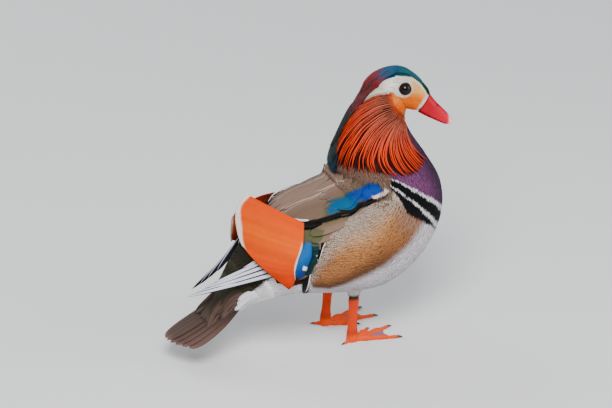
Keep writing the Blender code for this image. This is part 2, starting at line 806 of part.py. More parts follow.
def make_tail():
    """The tail fan: overlapping feathers from the outer pair under to the middle pair on top."""
    back = Vector((-math.cos(TAIL_SLOPE), 0, -math.sin(TAIL_SLOPE)))
    up = Vector((-math.sin(TAIL_SLOPE), 0, math.cos(TAIL_SLOPE)))

    def spot(reach, side, lift):
        return TAIL_ROOT + back * reach + Vector((0, side, 0)) + up * (lift - TAIL_DROOP * side * side)

    def core(u, v, lift):
        across = (2 * v - 1) * (10 + 8 * u)
        return spot(TAIL_LENGTH * 0.5 * u, across, lift)

    tail = slab("tail", lambda u, v: core(u, v, TAIL_TOP), lambda u, v: core(u, v, -TAIL_UNDER), 4, 6, "tail")
    pieces = []
    for i in range(TAIL_FEATHERS):
        place = 2 * i / (TAIL_FEATHERS - 1) - 1
        side = 1 if place > 0 else -1
        length = TAIL_LENGTH * (1 - 0.16 * abs(place) ** 2)
        path = []
        for j in range(6):
            s = j / 5
            lateral = place * (8 + (TAIL_HALF_WIDTH - 14) * math.sin(s * math.pi / 2) ** 0.8)
            lift = (0.9 - 1.9 * abs(place)) * s + (0.5 if i % 2 else 0.0) * s
            path.append((spot(length * s, lateral, lift), up + Vector((0, 0.018 * lateral, 0))))
        pieces.append(vane(path, TAIL_WIDTH, 1.0, "tail", broad_profile, roll=4 * side, camber=0.3))
    fuse(tail, pieces)
    return carve(tail, trunk("trunk_room", GAP, "tail"))


def oval(centre, deep, wide, sides=12):
    """A flat ring round a centre, deep along X and wide along Y."""
    angles = [2 * math.pi * i / sides for i in range(sides)]
    return [centre + Vector((deep * math.cos(a), wide * math.sin(a), 0)) for a in angles]


def make_leg(word):
    """Thigh, shank, webbed foot and claws."""
    ankle = ANKLES[word]
    root = FOOT_ROOTS[word]
    rings = [oval(ankle + Vector((ahead, 0, high)), deep, wide) for high, ahead, deep, wide in THIGH_RINGS]
    thigh = tube(f"thigh_{word}", rings, "thigh")
    carve(thigh, trunk("trunk_room", GAP, "thigh"))
    rings = []
    for share, swell in SHANK_LEVELS:
        centre = root + (ankle - root) * share
        centre.z = FOOT_TOP + (ankle.z - GAP - FOOT_TOP) * share
        rings.append(oval(centre, SHANK_DEPTH * swell, SHANK_WIDTH * swell))
    tube(f"shank_{word}", rings, "leg")
    make_foot(word, root)


def toe_line(root, heading, length, s):
    """A point on a toe's line on the floor."""
    a = math.radians(heading)
    return root + Vector((math.cos(a), math.sin(a), 0)) * length * s


def toe(root, heading, length, slim):
    """One toe with its joints, flat underneath."""
    a = math.radians(heading)
    side = Vector((-math.sin(a), math.cos(a), 0))
    rings = []
    for i in range(TOE_STEPS + 1):
        s = i / TOE_STEPS
        swell = 1 + 0.16 * math.cos(2 * math.pi * 3 * s)
        half = (3.1 - 1.5 * s) * swell * slim
        tall = (6.2 - 3.6 * s ** 0.6) * swell * slim
        centre = toe_line(root, heading, length, s)
        outline = [(-1, -SOLE_SPARE), (-1, 0.4), (-0.5, 1), (0.5, 1), (1, 0.4), (1, -SOLE_SPARE)]
        rings.append([
            centre + side * half * x + Vector((0, 0, tall * z if z > 0 else z)) for x, z in outline
        ])
    return tube("toe", rings, "leg")


def web(root, first, second):
    """The web between two toes, hollowed along its front edge."""
    def surface(u, v, height):
        a = toe_line(root, first[0], first[1] * 0.93, u)
        b = toe_line(root, second[0], second[1] * 0.93, u)
        spot = a + (b - a) * v
        spot = root + (spot - root) * (1 - 0.2 * math.sin(math.pi * v) * u)
        return spot + Vector((0, 0, height))

    def top(u, v):
        return surface(0.1 + 0.9 * u, v, WEB_THICK)

    def bottom(u, v):
        return surface(0.1 + 0.9 * u, v, -SOLE_SPARE)

    return slab("web", top, bottom, 4, 4, "leg")


def make_foot(word, root):
    """The foot's toes and webs as one body with a flat sole, and its claws."""
    toes = TOES[word]
    foot = tube(f"foot_{word}", [
        oval(root + Vector((0, 0, FOOT_TOP - GAP)), SHANK_DEPTH * 1.15, SHANK_WIDTH * 1.15),
        oval(root + Vector((0.5, 0, 4.5)), 5.6, 4.6),
        oval(root + Vector((1, 0, -SOLE_SPARE)), 5.6, 5.0),
    ], "leg")
    pieces = [toe(root, *toes[name], 0.75 if name == "hind" else 1.0) for name in toes]
    pieces += [web(root, toes["outer"], toes["middle"]), web(root, toes["middle"], toes["inner"])]
    fuse(foot, pieces)
    slice_off(foot, Vector((0, 0, 0)), Vector((0, 0, -1)))
    for name, (heading, length) in toes.items():
        make_claw(f"claw_{word}_{name}", root, heading, length, 0.75 if name == "hind" else 1.0)


def make_claw(name, root, heading, length, slim):
    """A short curved claw in front of a toe's tip."""
    a = math.radians(heading)
    ahead = Vector((math.cos(a), math.sin(a), 0))
    side = Vector((-ahead.y, ahead.x, 0))
    rings = []
    for i in range(4):
        s = i / 3
        centre = toe_line(root, heading, length, 1) + ahead * (GAP + CLAW_LENGTH * slim * s)
        size = (1.25 - 0.95 * s) * slim
        centre.z = 1.5 * slim - 0.9 * s ** 2 * slim
        angles = [math.pi * j / 3 for j in range(6)]
        rings.append([
            centre + side * size * math.cos(b) + Vector((0, 0, size * 0.9 * math.sin(b)))
            for b in angles
        ])
    tube(name, rings, "claw")


def settle():
    """Moves the bird so that the middle of its box stands over the origin, on the floor."""
    corners = [v.co for obj in COLLECTION.objects for v in obj.data.vertices]
    low = Vector([min(c[i] for c in corners) for i in range(3)])
    high = Vector([max(c[i] for c in corners) for i in range(3)])
    shift = Matrix.Translation(Vector((-(low.x + high.x) / 2, -(low.y + high.y) / 2, -low.z)))
    for obj in COLLECTION.objects:
        obj.data.transform(shift)
        obj.data.shade_smooth()
        obj.data.set_sharp_from_angle(angle=math.radians(40))


def main():
    """Builds every part of the bird."""
    whole = trunk("torso", 0.0, "breast")
    fuse(whole, [skull("skull", "crest")])
    find = surface_finder(whole)
    point, normal = plane_of(HEAD_CUT)
    head = slice_off(duplicate(whole, "head", "crest"), point + normal * GAP / 2, -normal)
    below = slice_off(duplicate(whole, "neck", "ruff"), point - normal * GAP / 2, normal)
    point, normal = plane_of(NECK_CUT)
    neck = slice_off(below, point + normal * GAP / 2, -normal)
    torso = slice_off(whole, point - normal * GAP / 2, normal)
    fuse(torso, flank(-1) + flank(1))
    fuse(neck, ruff(find, -1) + ruff(find, 1))
    fuse(head, crest(find))
    make_bill(head)
    make_eyes(head)
    make_tail()
    for side, word in ((-1, "right"), (1, "left")):
        make_wing(side, word)
        make_sail(side, word)
        make_leg(word)
    settle()


for old in list(bpy.data.objects):
    bpy.data.objects.remove(old, do_unlink=True)
COLLECTION = bpy.data.collections.new("mandarin_drake")
bpy.context.scene.collection.children.link(COLLECTION)
main()
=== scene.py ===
"""Looks of a mandarin drake, a life-size model that stands with its head turned to its right.

Sizes are millimetres in the bird's own axes: +X ahead, +Y to its left, +Z up, origin on the floor
between the feet. A place on the trunk is a ring number t, from the tail root (0) to the top of the
neck (1), and an angle from the spine in degrees, towards the left.
"""
import logging
import math
from dataclasses import dataclass, field
from enum import Enum
from typing import Callable, Optional, Sequence

import bmesh
import bpy
import numpy as np
from mathutils import Matrix, Vector
from mathutils.bvhtree import BVHTree


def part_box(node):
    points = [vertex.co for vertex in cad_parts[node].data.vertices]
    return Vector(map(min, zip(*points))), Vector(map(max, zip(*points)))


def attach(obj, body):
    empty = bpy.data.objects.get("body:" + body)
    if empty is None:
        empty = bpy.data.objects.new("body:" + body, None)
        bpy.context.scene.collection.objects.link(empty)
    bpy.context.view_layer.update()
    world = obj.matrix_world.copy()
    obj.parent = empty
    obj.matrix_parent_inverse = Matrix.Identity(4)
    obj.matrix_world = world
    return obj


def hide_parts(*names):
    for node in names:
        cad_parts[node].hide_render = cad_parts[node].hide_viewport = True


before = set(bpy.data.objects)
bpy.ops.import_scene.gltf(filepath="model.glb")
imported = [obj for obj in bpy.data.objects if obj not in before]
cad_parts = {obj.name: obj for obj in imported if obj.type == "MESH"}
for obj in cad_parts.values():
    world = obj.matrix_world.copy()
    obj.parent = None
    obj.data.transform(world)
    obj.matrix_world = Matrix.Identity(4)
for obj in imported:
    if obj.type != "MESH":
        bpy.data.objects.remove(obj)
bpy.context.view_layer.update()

LOG = logging.getLogger("mandarin_drake")
MM = 0.001
PHOTO_SIZE = (612, 408)
# How much richer the colours are made than they look under the soft light.
RICHNESS = 1.2
# Power that deepens the colours' middle tones.
DEPTH = 1.15

Array = np.ndarray
Surface = Callable[..., Array]
Tint = Callable[[Array, Array], Array]
Line = Sequence[Sequence[float]]
Piece = bpy.types.Object
Material = bpy.types.Material
Socket = bpy.types.NodeSocket
Random = np.random.Generator

# Rings of the trunk: centre x and z, pitch of the ring's normal in degrees, half width, reach to the
# back and reach to the belly.
TRUNK_RINGS = np.array([
    (-124, 52, 32, 1, 1, 1),
    (-116, 56, 32, 13, 8, 6),
    (-104, 63, 31, 24, 16, 12),
    (-88, 72, 28, 34, 26, 20),
    (-64, 84, 22, 44, 38, 31),
    (-36, 94, 15, 51, 47, 44),
    (-10, 99, 12, 54, 51, 52),
    (16, 102, 25, 55, 57, 56),
    (36, 117, 45, 53, 61, 57),
    (45, 138, 62, 48, 57, 58),
    (44, 156, 76, 42, 52, 55),
    (37, 172, 88, 36, 45, 47),
    (32, 187, 96, 31, 37, 39),
    (32, 201, 98, 27, 31, 32),
    (36, 214, 92, 24, 27, 26),
    (42, 226, 80, 21, 23, 22),
    (48, 238, 72, 15, 16, 16),
    (52, 246, 70, 1, 1, 1),
], float)

# The head's own axes start midway between the eyes: forward, left and up.
HEAD_CENTRE = np.array([63.5, -2.0, 244.0])
HEAD_YAW = math.radians(-28)
HEAD_PITCH = math.radians(20)
HEAD_RINGS = np.array([
    (-36, -17, 1, 1, 1),
    (-33, -16, 8, 8, 8),
    (-27, -12.5, 13, 12.5, 13),
    (-18, -8, 16.5, 15.5, 16),
    (-9, -5.5, 17.6, 17, 18),
    (0, -5, 17.2, 16.4, 18.5),
    (9, -6, 15.0, 14.8, 16.5),
    (17, -8, 12.0, 13, 13),
    (23, -9.5, 9.6, 10.6, 10.4),
    (30, -11, 8.6, 8.4, 8.6),
], float)
EYE_RADIUS = 6.2
EYE_SPOT = np.array([1.0, 12.7, 0.0])
# Height of the ankle over the top of the foot.
SHANK_RISE = 33.0
# The lids' ring: its radius, its distance out along the eye's axis, and that axis's tilt upwards.
LID_RING = 5.35
LID_OUT = 3.5
LID_TILT = math.radians(20)
# The lids' middle as seen from the side, forward and up.
LID_MIDDLE = (EYE_SPOT[0], EYE_SPOT[2] + LID_OUT * math.sin(LID_TILT))
# The bill's base in the head's axes: its lower end, forward and up, and its lean.
BILL_FOOT = (20.6, -17.8)
BILL_LEAN = 0.2

# The folded wing: ring number, angles from the spine of its upper and lower edges, and its lift.
WING_EDGES = np.array([
    (0.6, 60, 76, 1.2),
    (0.56, 24, 70, 3.0),
    (0.5, 9, 52, 4.0),
    (0.43, 5, 45, 5.5),
    (0.37, 4, 46, 5.5),
    (0.33, 4, 52, 5.5),
    (0.3, 4, 61, 6.5),
    (0.28, 4, 70, 7.0),
    (0.262, 5, 86, 6.0),
    (0.235, 8, 92, 4.5),
    (0.205, 14, 84, 2.5),
])[::-1]
# The flank: ring number, angles from the spine of its upper edge and of its lower one.
FLANK_EDGES = np.array([
    (0.59, 79, 100),
    (0.55, 72, 112),
    (0.5, 55, 118),
    (0.44, 47.5, 122),
    (0.38, 48.5, 126),
    (0.335, 54.5, 130),
    (0.305, 63.5, 134),
    (0.285, 72.5, 138),
    (0.268, 88, 142),
])[::-1]
FLANK_LIFT = 3.0
# Depth of the coat over the skin.
COAT = 1.2
# Small steps of ring number and of angle, over which slopes are taken.
NUDGE = 0.002
HALF_DEGREE = 0.5
# A degree round the trunk is taken as this share of ring number, so that both count alike.
DEGREE = 0.0034
SIDES = ((-1, "right"), (1, "left"))

# Rings of a thigh over its ankle: height, shift ahead, reach ahead and reach to the side.
THIGH_RINGS = (
    (24, 2, 12, 10), (16, 1.5, 10.5, 9), (10, 1, 9, 7.6), (5, 0.4, 7.2, 6.2), (1.5, 0, 5.6, 4.8),
    (0.2, 0, 4.6, 3.8),
)

NECK_AXIS_X = 36.0
# How many degrees less round the neck the left side's guides lie, at the rear edge and at the front.
RUFF_TURN = np.array([(28, 28, 50, 62, 66, 42), (20, 18, 13, 8, 5, 2)], float)
# Guides of the ruff from its rear edge to its front one: heading round the neck and height.
RUFF_GUIDES = np.array([
    [(58, 240), (108, 238), (158, 230), (180, 217), (194, 203), (186, 187)],
    [(64, 233), (104, 231), (146, 222), (166, 208), (173, 194), (171, 180)],
    [(60, 227), (101, 223), (134, 212), (148, 198), (154, 186), (154, 170)],
    [(52, 223), (89, 215), (112, 204), (123, 189), (123, 181), (116, 171)],
    [(43, 219), (70, 212), (88, 201), (95, 190), (90, 177), (76, 166)],
    [(33, 214), (55, 207), (64, 198), (63, 185), (55, 172), (50, 166)],
    [(28, 211), (40, 203), (39, 194), (36, 185), (31, 177), (26, 171)],
], float)


def cubic(p: Array, q: Array, r: Array, s: Array, f: Array) -> Array:
    """Place f, 0 to 1, on the smooth curve from q to r that comes from p and goes on to s."""
    return 0.5 * (2 * q + (r - p) * f + (2 * p - 5 * q + 4 * r - s) * f**2 + (3 * q - p - 3 * r + s) * f**3)


def rows_at(rows: Line, t: Array) -> Array:
    """Rows' values on a smooth curve through them.

    Args:
        rows: Values, one row for each knot.
        t: Places from 0 to 1.

    Returns:
        The values at each place, along a last axis.
    """
    rows, last = np.asarray(rows, float), len(rows) - 1
    place = np.clip(t, 0.0, 1.0) * last
    i = np.minimum(np.asarray(place).astype(int), last - 1)
    ends = rows[np.maximum(i - 1, 0)], rows[i], rows[i + 1], rows[np.minimum(i + 2, last)]
    return cubic(*ends, np.asarray(place - i)[..., None])


def row_at(rows: Line, t: float) -> Array:
    """One row of values on the smooth curve."""
    return rows_at(rows, np.array(t))


def stack(*values: Array) -> Array:
    """Values side by side along a last axis, each spread to the shape of all."""
    return np.stack(np.broadcast_arrays(*values), -1)


def grid(first: Array, second: Array) -> list[Array]:
    """Two sets of values crossed, the first along the rows."""
    return np.meshgrid(first, second, indexing="ij")


def shell(top: Array, under: Array) -> Array:
    """Closed rings from their upper halves and their lower ones, which run the same way."""
    return np.concatenate([top, under[:, ::-1]], 1)


def reading(x: Array, line: Line) -> Array:
    """Value at x of a line of points."""
    return np.interp(x, *np.transpose(line))


def unit(v: Array) -> Array:
    """The vectors at length one."""
    return v / np.maximum(np.linalg.norm(v, axis=-1, keepdims=True), 1e-9)


def step(low: float, high: float, x: Array) -> Array:
    """A smooth step of x from 0 at low to 1 at high, which may be the smaller."""
    f = np.clip((x - low) / (high - low), 0.0, 1.0)
    return f * f * (3 - 2 * f)


def tone(red: float, green: float, blue: float) -> Array:
    """A linear colour from its screen values, 0 to 255, made richer against the soft light.

    Args:
        red: Red of the screen.
        green: Green of the screen.
        blue: Blue of the screen.

    Returns:
        The colour.
    """
    c = np.array([red, green, blue]) / 255
    c = np.where(c <= 0.04045, c / 12.92, ((c + 0.055) / 1.055) ** 2.4)
    grey = c @ np.array([0.2126, 0.7152, 0.0722])
    return np.clip(grey + RICHNESS * (c - grey), 0.0, 1.0) ** DEPTH


def blend(a: Array, b: Array, share: Array) -> Array:
    """Colours a turned into b by a share."""
    return a + (b - a) * np.asarray(share)[..., None]


def coated(under: Array, *coats: tuple[Sequence[float], Array]) -> Array:
    """Colours under coats of paint.

    Args:
        under: Linear colours.
        coats: Screen colour of each coat and the share of it that covers, the lowest first.

    Returns:
        Linear colours.
    """
    for colour, share in coats:
        under = blend(under, tone(*colour), share)
    return under


def trunk_at(t: Array, angle: Array, lift: Array = 0.0) -> Array:
    """Points on the trunk.

    Args:
        t: Ring numbers.
        angle: Angles from the spine in degrees.
        lift: Height over the trunk.

    Returns:
        Points in millimetres.
    """
    v = rows_at(TRUNK_RINGS, t)
    a = np.radians(angle)
    up = (np.where(np.cos(a) > 0, v[..., 4], v[..., 5]) + lift) * np.cos(a)
    pitch = np.radians(v[..., 2])
    wide = (v[..., 3] + lift) * np.sin(a)
    return stack(v[..., 0] - up * np.sin(pitch), wide, v[..., 1] + up * np.cos(pitch))


def turn_matrix(axis: str, angle: float) -> Array:
    """A turn by an angle in radians about one axis."""
    return np.array(Matrix.Rotation(angle, 3, axis))


HEAD_TURN = turn_matrix("Z", HEAD_YAW) @ turn_matrix("Y", HEAD_PITCH)


def from_head(spot: Array) -> Array:
    """Points given in the head's own axes."""
    return HEAD_CENTRE + np.asarray(spot) @ HEAD_TURN.T


def to_head(spot: Array) -> Array:
    """Points in the head's own axes."""
    return (spot - HEAD_CENTRE) @ HEAD_TURN


def skull_at(t: Array, angle: Array, lift: Array = 0.0) -> Array:
    """Points on the head, by ring number and angle from its crown in degrees.

    Args:
        t: Ring numbers of the head.
        angle: Angles round the body from its top, in degrees.
        lift: Height over the surface in millimetres.

    Returns:
        Points in the bird's axes.
    """
    v = rows_at(HEAD_RINGS, t)
    a = np.radians(angle)
    reach = np.where(np.cos(a) > 0, v[..., 3], v[..., 4]) + lift
    spot = stack(v[..., 0], (v[..., 2] + lift) * np.sin(a), v[..., 1] + reach * np.cos(a))
    return from_head(spot)


def behind_bill(points: Array, gap: float = 0.0) -> Array:
    """Points of the head moved back to the plane of the bill's base, or a gap behind it.

    Args:
        points: Points in the bird's axes.
        gap: How far behind the plane, in millimetres.

    Returns:
        The moved points.
    """
    spot = to_head(points)
    plane = BILL_FOOT[0] + BILL_LEAN * (spot[..., 2] - BILL_FOOT[1]) - gap
    spot[..., 0] = np.minimum(spot[..., 0], plane)
    return from_head(spot)


def wing_edges(t: Array) -> tuple[Array, Array, Array]:
    """Upper and lower angle of the folded wing and its lift at ring numbers."""
    return tuple(np.interp(t, WING_EDGES[:, 0], WING_EDGES[:, i]) for i in (1, 2, 3))


def flank_edges(t: Array) -> tuple[Array, Array]:
    """Upper and lower angle of the flank at ring numbers."""
    return tuple(np.interp(t, FLANK_EDGES[:, 0], FLANK_EDGES[:, i]) for i in (1, 2))


def wing_lift(t: Array, angle: Array) -> Array:
    """Height of the folded wing over the trunk.

    Args:
        t: Places along the body, by ring number.
        angle: Angles round the body from its top, in degrees.

    Returns:
        Heights in millimetres.
    """
    upper, lower, lift = wing_edges(t)
    a = np.abs(angle)
    v = np.clip((a - upper) / (lower - upper), 0, 1)
    shoulder = 1 - step(0.49, 0.54, t) * (1 - step(-2, 16, a - upper))
    return 0.2 + 0.8 * shoulder + (lift - 1.0) * shoulder * np.minimum(1.0, 3.5 * (1 - v) + 0.25)


def flank_swell(t: Array, angle: Array) -> Array:
    """Height of the flank feathers over the trunk.

    Args:
        t: Places along the body, by ring number.
        angle: Angles round the body from its top, in degrees.

    Returns:
        Heights in millimetres.
    """
    a = np.abs(angle)
    upper, lower = flank_edges(t)
    v = np.clip((a - upper) / (lower - upper), 0, 1)
    ends = step(0.25, 0.3, t) * (1 - step(0.54, 0.6, t))
    edge = step(-7.0, 2.0, a - upper) * (1 - v) ** 0.7 * ends
    return np.maximum(0.0, FLANK_LIFT * edge)


def body_at(t: Array, angle: Array, lift: Array = 0.0) -> Array:
    """Points on the feathered body, flanks included."""
    return trunk_at(t, angle, lift + flank_swell(t, angle))


def wing_at(t: Array, angle: Array, lift: Array = 0.0) -> Array:
    """Points on the top of the folded wings."""
    return trunk_at(t, angle, lift + wing_lift(t, angle))


def slope(surface: Surface, t: Array, angle: Array) -> Array:
    """Way that a surface runs from tail to head, in millimetres to a unit of ring number."""
    return (surface(t + NUDGE, angle) - surface(t - NUDGE, angle)) / (2 * NUDGE)


def outward(surface: Surface, t: Array, angle: Array) -> Array:
    """Outward normals of a surface over ring number and angle."""
    around = surface(t, angle + HALF_DEGREE) - surface(t, angle - HALF_DEGREE)
    return unit(np.cross(slope(surface, t, angle), around))


def near_line(x: Array, y: Array, points: Line) -> Array:
    """Distance from places to a bent line, in the units of its points.

    Args:
        x: First coordinates of the places.
        y: Second coordinates.
        points: Corners of the line.

    Returns:
        The distances.
    """
    best = np.full(np.shape(x), np.inf)
    for (ax, ay), (bx, by) in zip(points, points[1:]):
        dx, dy = bx - ax, by - ay
        f = np.clip(((x - ax) * dx + (y - ay) * dy) / (dx * dx + dy * dy), 0, 1)
        best = np.minimum(best, np.hypot(x - ax - f * dx, y - ay - f * dy))
    return best


def within(x: Array, y: Array, points: Line) -> Array:
    """Whether places lie inside a closed outline.

    Args:
        x: First coordinates of the places.
        y: Second coordinates.
        points: Corners of the outline.

    Returns:
        True for each place inside.
    """
    inside = np.zeros(np.shape(x), bool)
    for (ax, ay), (bx, by) in zip(points, (*points[1:], points[0])):
        cross = (ay > y) != (by > y)
        inside ^= cross & (x < (bx - ax) * (y - ay) / (by - ay + 1e-12) + ax)
    return inside


def on_trunk(points: Line) -> list[tuple[float, float]]:
    """Places by ring number and angle, with the angle scaled like the ring number."""
    return [(t, a * DEGREE) for t, a in points]


class Plumage:
    """The colours of the plumage, by place on the bird."""

    BLUE_PATCH = on_trunk([
        (0.336, 39), (0.35, 28), (0.427, 30), (0.513, 38), (0.6, 55), (0.6, 66),
        (0.575, 69), (0.527, 55), (0.465, 44), (0.367, 40.5),
    ])
    BLACK_LINE = on_trunk([(0.293, 40), (0.315, 42), (0.358, 42.5), (0.455, 46), (0.505, 54), (0.57, 71)])
    WHITE_SPOT = on_trunk([(0.533, 58), (0.58, 73)])
    BACK_LINE = on_trunk([(0.273, 12), (0.325, 15), (0.38, 11), (0.43, 13), (0.527, 22)])
    OLIVE_COVERT = on_trunk([(0.278, 44), (0.305, 44), (0.318, 53), (0.298, 64), (0.283, 61), (0.272, 52)])
    SPECULUM = on_trunk([(0.284, 60), (0.298, 64), (0.29, 76), (0.262, 92), (0.252, 84), (0.266, 66)])
    # The bands on the breast: angles, and ring numbers of the front white one, of the rear white one
    # and of the black's rear edge.
    BANDS = (
        ((78, 89, 101, 118, 143, 165), (0.634, 0.62, 0.595, 0.573, 0.55, 0.536)),
        ((78, 83, 95, 111, 135, 165), (0.607, 0.593, 0.565, 0.542, 0.522, 0.508)),
        ((78, 82, 91, 99, 125, 165), (0.592, 0.573, 0.528, 0.522, 0.517, 0.505)),
    )
    # Half the width of the black that runs ahead of the front white band, and of a white band.
    BLACK_RIM = 0.0045
    WHITE_HALF = 0.0034
    BELLY_EDGE = (
        (0.25, 104), (0.27, 120), (0.3, 128), (0.33, 123), (0.36, 116), (0.4, 107), (0.44, 105),
        (0.47, 108), (0.505, 112), (0.53, 122), (0.545, 158),
    )
    # Edges on the head in its own axes, forward and up, and half the crown's width.
    CREST_TOP = (
        (-34.5, -33.1), (-32.4, -24.2), (-30.8, -17.4), (-27.8, -10.3), (-24.3, -4.8), (-18.9, 1.1),
        (-16.4, 3.8), (-10.6, 7.9), (-3.4, 9.6), (2.4, 10.0), (8.4, 8.4), (14.4, 5.6), (18.9, 2.6),
        (22.7, -0.8),
    )
    CROWN_HALF = (
        (-36, 16), (-16, 12.0), (-10.6, 10.3), (-3.4, 7.4), (2.4, 4.6), (8.4, 3.2), (14.4, 2.8),
        (18.9, 3.2), (26, 4.6),
    )
    BROW_LOW = ((-34.5, -33.1), (-30.7, -25.0), (-26.0, -17.4), (-21.4, -12.6), (-14.4, -8.7), (-9.3, -6.8))
    # The face's rear edge, up and forward, and its front edge along the bill.
    FACE_REAR = ((-25.2, 9.6), (-20.9, 5.6), (-17.0, -0.2), (-12.1, -5.8), (-8.3, -8.0), (-4.0, -9.3))
    FACE_FRONT = ((-17, 18.4), (-8, 20.2), (0, 21.6), (4, 19.5))

    def wing(self, t: Array, angle: Array) -> Array:
        """Colours of the folded wing and back.

        Args:
            t: Places along the body, by ring number.
            angle: Angles round the body from its top, in degrees.

        Returns:
            A linear colour for each place.
        """
        a = np.abs(angle)
        y = a * DEGREE
        out = coated(
            tone(138, 117, 106),
            ((120, 102, 89), step(10, 34, a)),
            ((116, 104, 82), step(30, 40, a) * step(0.29, 0.34, t) * step(0.55, 0.48, t)),
            ((136, 116, 102), step(45, 52, a) * step(0.56, 0.5, t)),
        )
        out = coated(
            out * 1.1,
            ((184, 166, 152), step(0.0052, 0.002, near_line(t, y, self.BACK_LINE))),
            ((92, 90, 70), step(0.014, 0.0, near_line(t, y, self.BLUE_PATCH))),
        )
        blue = blend(tone(4, 98, 132), tone(8, 68, 142), step(0.4, 0.5, t))
        return coated(
            blend(out, blue, within(t, y, self.BLUE_PATCH)),
            ((14, 13, 16), step(0.009, 0.006, near_line(t, y, self.BLACK_LINE))),
            ((226, 208, 204), step(0.008, 0.005, near_line(t, y, self.WHITE_SPOT))),
            ((104, 102, 78), within(t, y, self.OLIVE_COVERT)),
            ((26, 60, 62), within(t, y, self.SPECULUM)),
            ((44, 42, 38), step(0.256, 0.24, t)),
        )

    def bands(self, a: Array) -> list[Array]:
        """Ring numbers of the two white bands' middles and of the lower edge of the black."""
        return [np.interp(a, *band) for band in self.BANDS]

    def body(self, t: Array, angle: Array) -> Array:
        """Colours of the trunk.

        Args:
            t: Places along the body, by ring number.
            angle: Angles round the body from its top, in degrees.

        Returns:
            A linear colour for each place.
        """
        a = np.abs(angle)
        first, second, lower = self.bands(a)
        upper = flank_edges(t)[0]
        belly = reading(t, self.BELLY_EDGE)
        out = coated(
            tone(216, 176, 138),
            ((188, 138, 100), step(64, 86, a)),
            # Painted shade: the flank darkens down towards the belly's edge, half as much from ring 0.47 on.
            ((120, 84, 62), step(-28, -4, a - belly) * (1 - 0.5 * step(0.4, 0.47, t))),
            ((166, 134, 116), step(0.46, 0.52, t) * step(74, 90, a)),
            ((204, 190, 180), step(28, 4, a - upper) * 0.9),
            ((228, 223, 228), step(-7, 6, a - belly)),
            ((226, 220, 214), step(0.2665, 0.2645, t) * (a > 60)),
            ((12, 11, 14), step(0.2615, 0.2585, t) * (a < 150)),
        )
        tail = blend(tone(104, 86, 80), tone(64, 60, 48), step(84, 50, a))
        rump = blend(tone(62, 58, 46), tone(240, 236, 238), step(68, 76, a + 160 * (t - 0.2)))
        vent = blend(tail, rump, step(0.125, 0.15, t))
        out = blend(out, blend(tone(84, 34, 24), vent, a > 104), step(0.2505, 0.2475, t))
        out = blend(out, vent, step(0.234, 0.226, t))
        purple = coated(
            tone(102, 66, 98),
            ((70, 50, 74), step(118, 165, a)),
            # Painted highlight: a paler purple band along the breast's side near 108 degrees, fading out
            # towards the neck.
            ((128, 84, 120), step(40, 0, np.abs(a - 108)) * step(0.72, 0.64, t)),
            ((96, 58, 76), step(0.66, 0.72, t)),
        )
        rim = first + self.BLACK_RIM
        side = (a > 84 - 260 * (0.62 - t)) & (a < 160)
        out = blend(out, blend(tone(128, 104, 92), purple, step(80, 92, a)), (t > rim) & (a > 60))
        out = blend(out, purple, (a >= 160) & (t > 0.54))
        return coated(
            out,
            ((128, 106, 94), step(0.565, 0.585, t) * (t < rim) * step(90, 82, a)),
            ((13, 12, 16), side & (t > lower) & (t < rim)),
            ((238, 236, 240), side & (np.abs(t - first) < self.WHITE_HALF + 0.00004 * (a - 84))),
            ((238, 236, 240), side & (np.abs(t - second) < self.WHITE_HALF + 0.00002 * (a - 84))),
            ((132, 108, 96), (a < upper - 6) & (t > 0.25) & (t < 0.72)),
            # Partly the neck's own dark maroon and partly painted shade that darkens the gaps between the
            # ruff's hackles.
            ((58, 20, 16), step(0.655, 0.685, t) * step(150, 118, a)),
        )

    def head(self, spot: Array) -> Array:
        """Colours of the head.

        Args:
            spot: Points in the head's own axes.

        Returns:
            Linear colours.
        """
        u, side, v = spot[..., 0], np.abs(spot[..., 1]), spot[..., 2]
        brow, half, low = (reading(u, line) for line in (self.CREST_TOP, self.CROWN_HALF, self.BROW_LOW))
        white = (242, 238, 230)
        face = coated(
            tone(250, 204, 146),
            ((240, 142, 64), step(3.5, -5.5, v) * (0.75 + 0.25 * step(-4, 4, u))),
            ((224, 108, 44), step(-10, -19, v) * 0.75),
            (white, step(8.5, 7.2, np.hypot(u, v - 0.2) - 1.4 * step(0, -6, u))),
            (white, step(8.0, -2.0, u) * step(-7.4, -5.4, v)),
            ((252, 240, 222), step(-2.2, -0.6, v - brow) * 0.8),
            (white, step(-1.4, 0.6, u - reading(v, self.FACE_FRONT))),
            ((208, 144, 98), step(-19.0, -21.5, v) * (u > 4)),
        )
        chestnut = blend(tone(206, 92, 44), tone(150, 56, 26), step(-10, -26, v))
        out = blend(chestnut, face, step(-1.0, 2.0, u - reading(v, self.FACE_REAR)))
        stripe = blend(tone(214, 204, 190), tone(*white), step(-26, -8, u))
        out = blend(out, stripe, (u < -8.6) & (v > low))
        return blend(out, self.crest(u, side, v), (v > brow) | ((side < half) & (v > -3.0)))

    def crest(self, u: Array, side: Array, v: Array) -> Array:
        """Colours of the crest from the forehead to its end on the neck.

        Args:
            u: Places along the head's own axis, in millimetres.
            side: Distances from its middle.
            v: Heights.

        Returns:
            A linear colour for each place.
        """
        rear = step(-23.5, -28.5, u) + 0.9 * step(-17, -23, u) * step(9, 14, side)
        return coated(
            tone(14, 70, 58),
            ((18, 92, 100), step(20, 8, u)),
            ((34, 78, 116), step(-6, -18, u) * 0.8),
            ((132, 30, 36), np.clip(rear, 0, 1)),
            ((66, 16, 24), step(4.0, 9.0, side) * step(-24, -29, u) * 0.7),
            ((16, 34, 32), step(-27, -45, v)),
            ((14, 60, 78), step(-76, -90, v) * 0.8),
        )


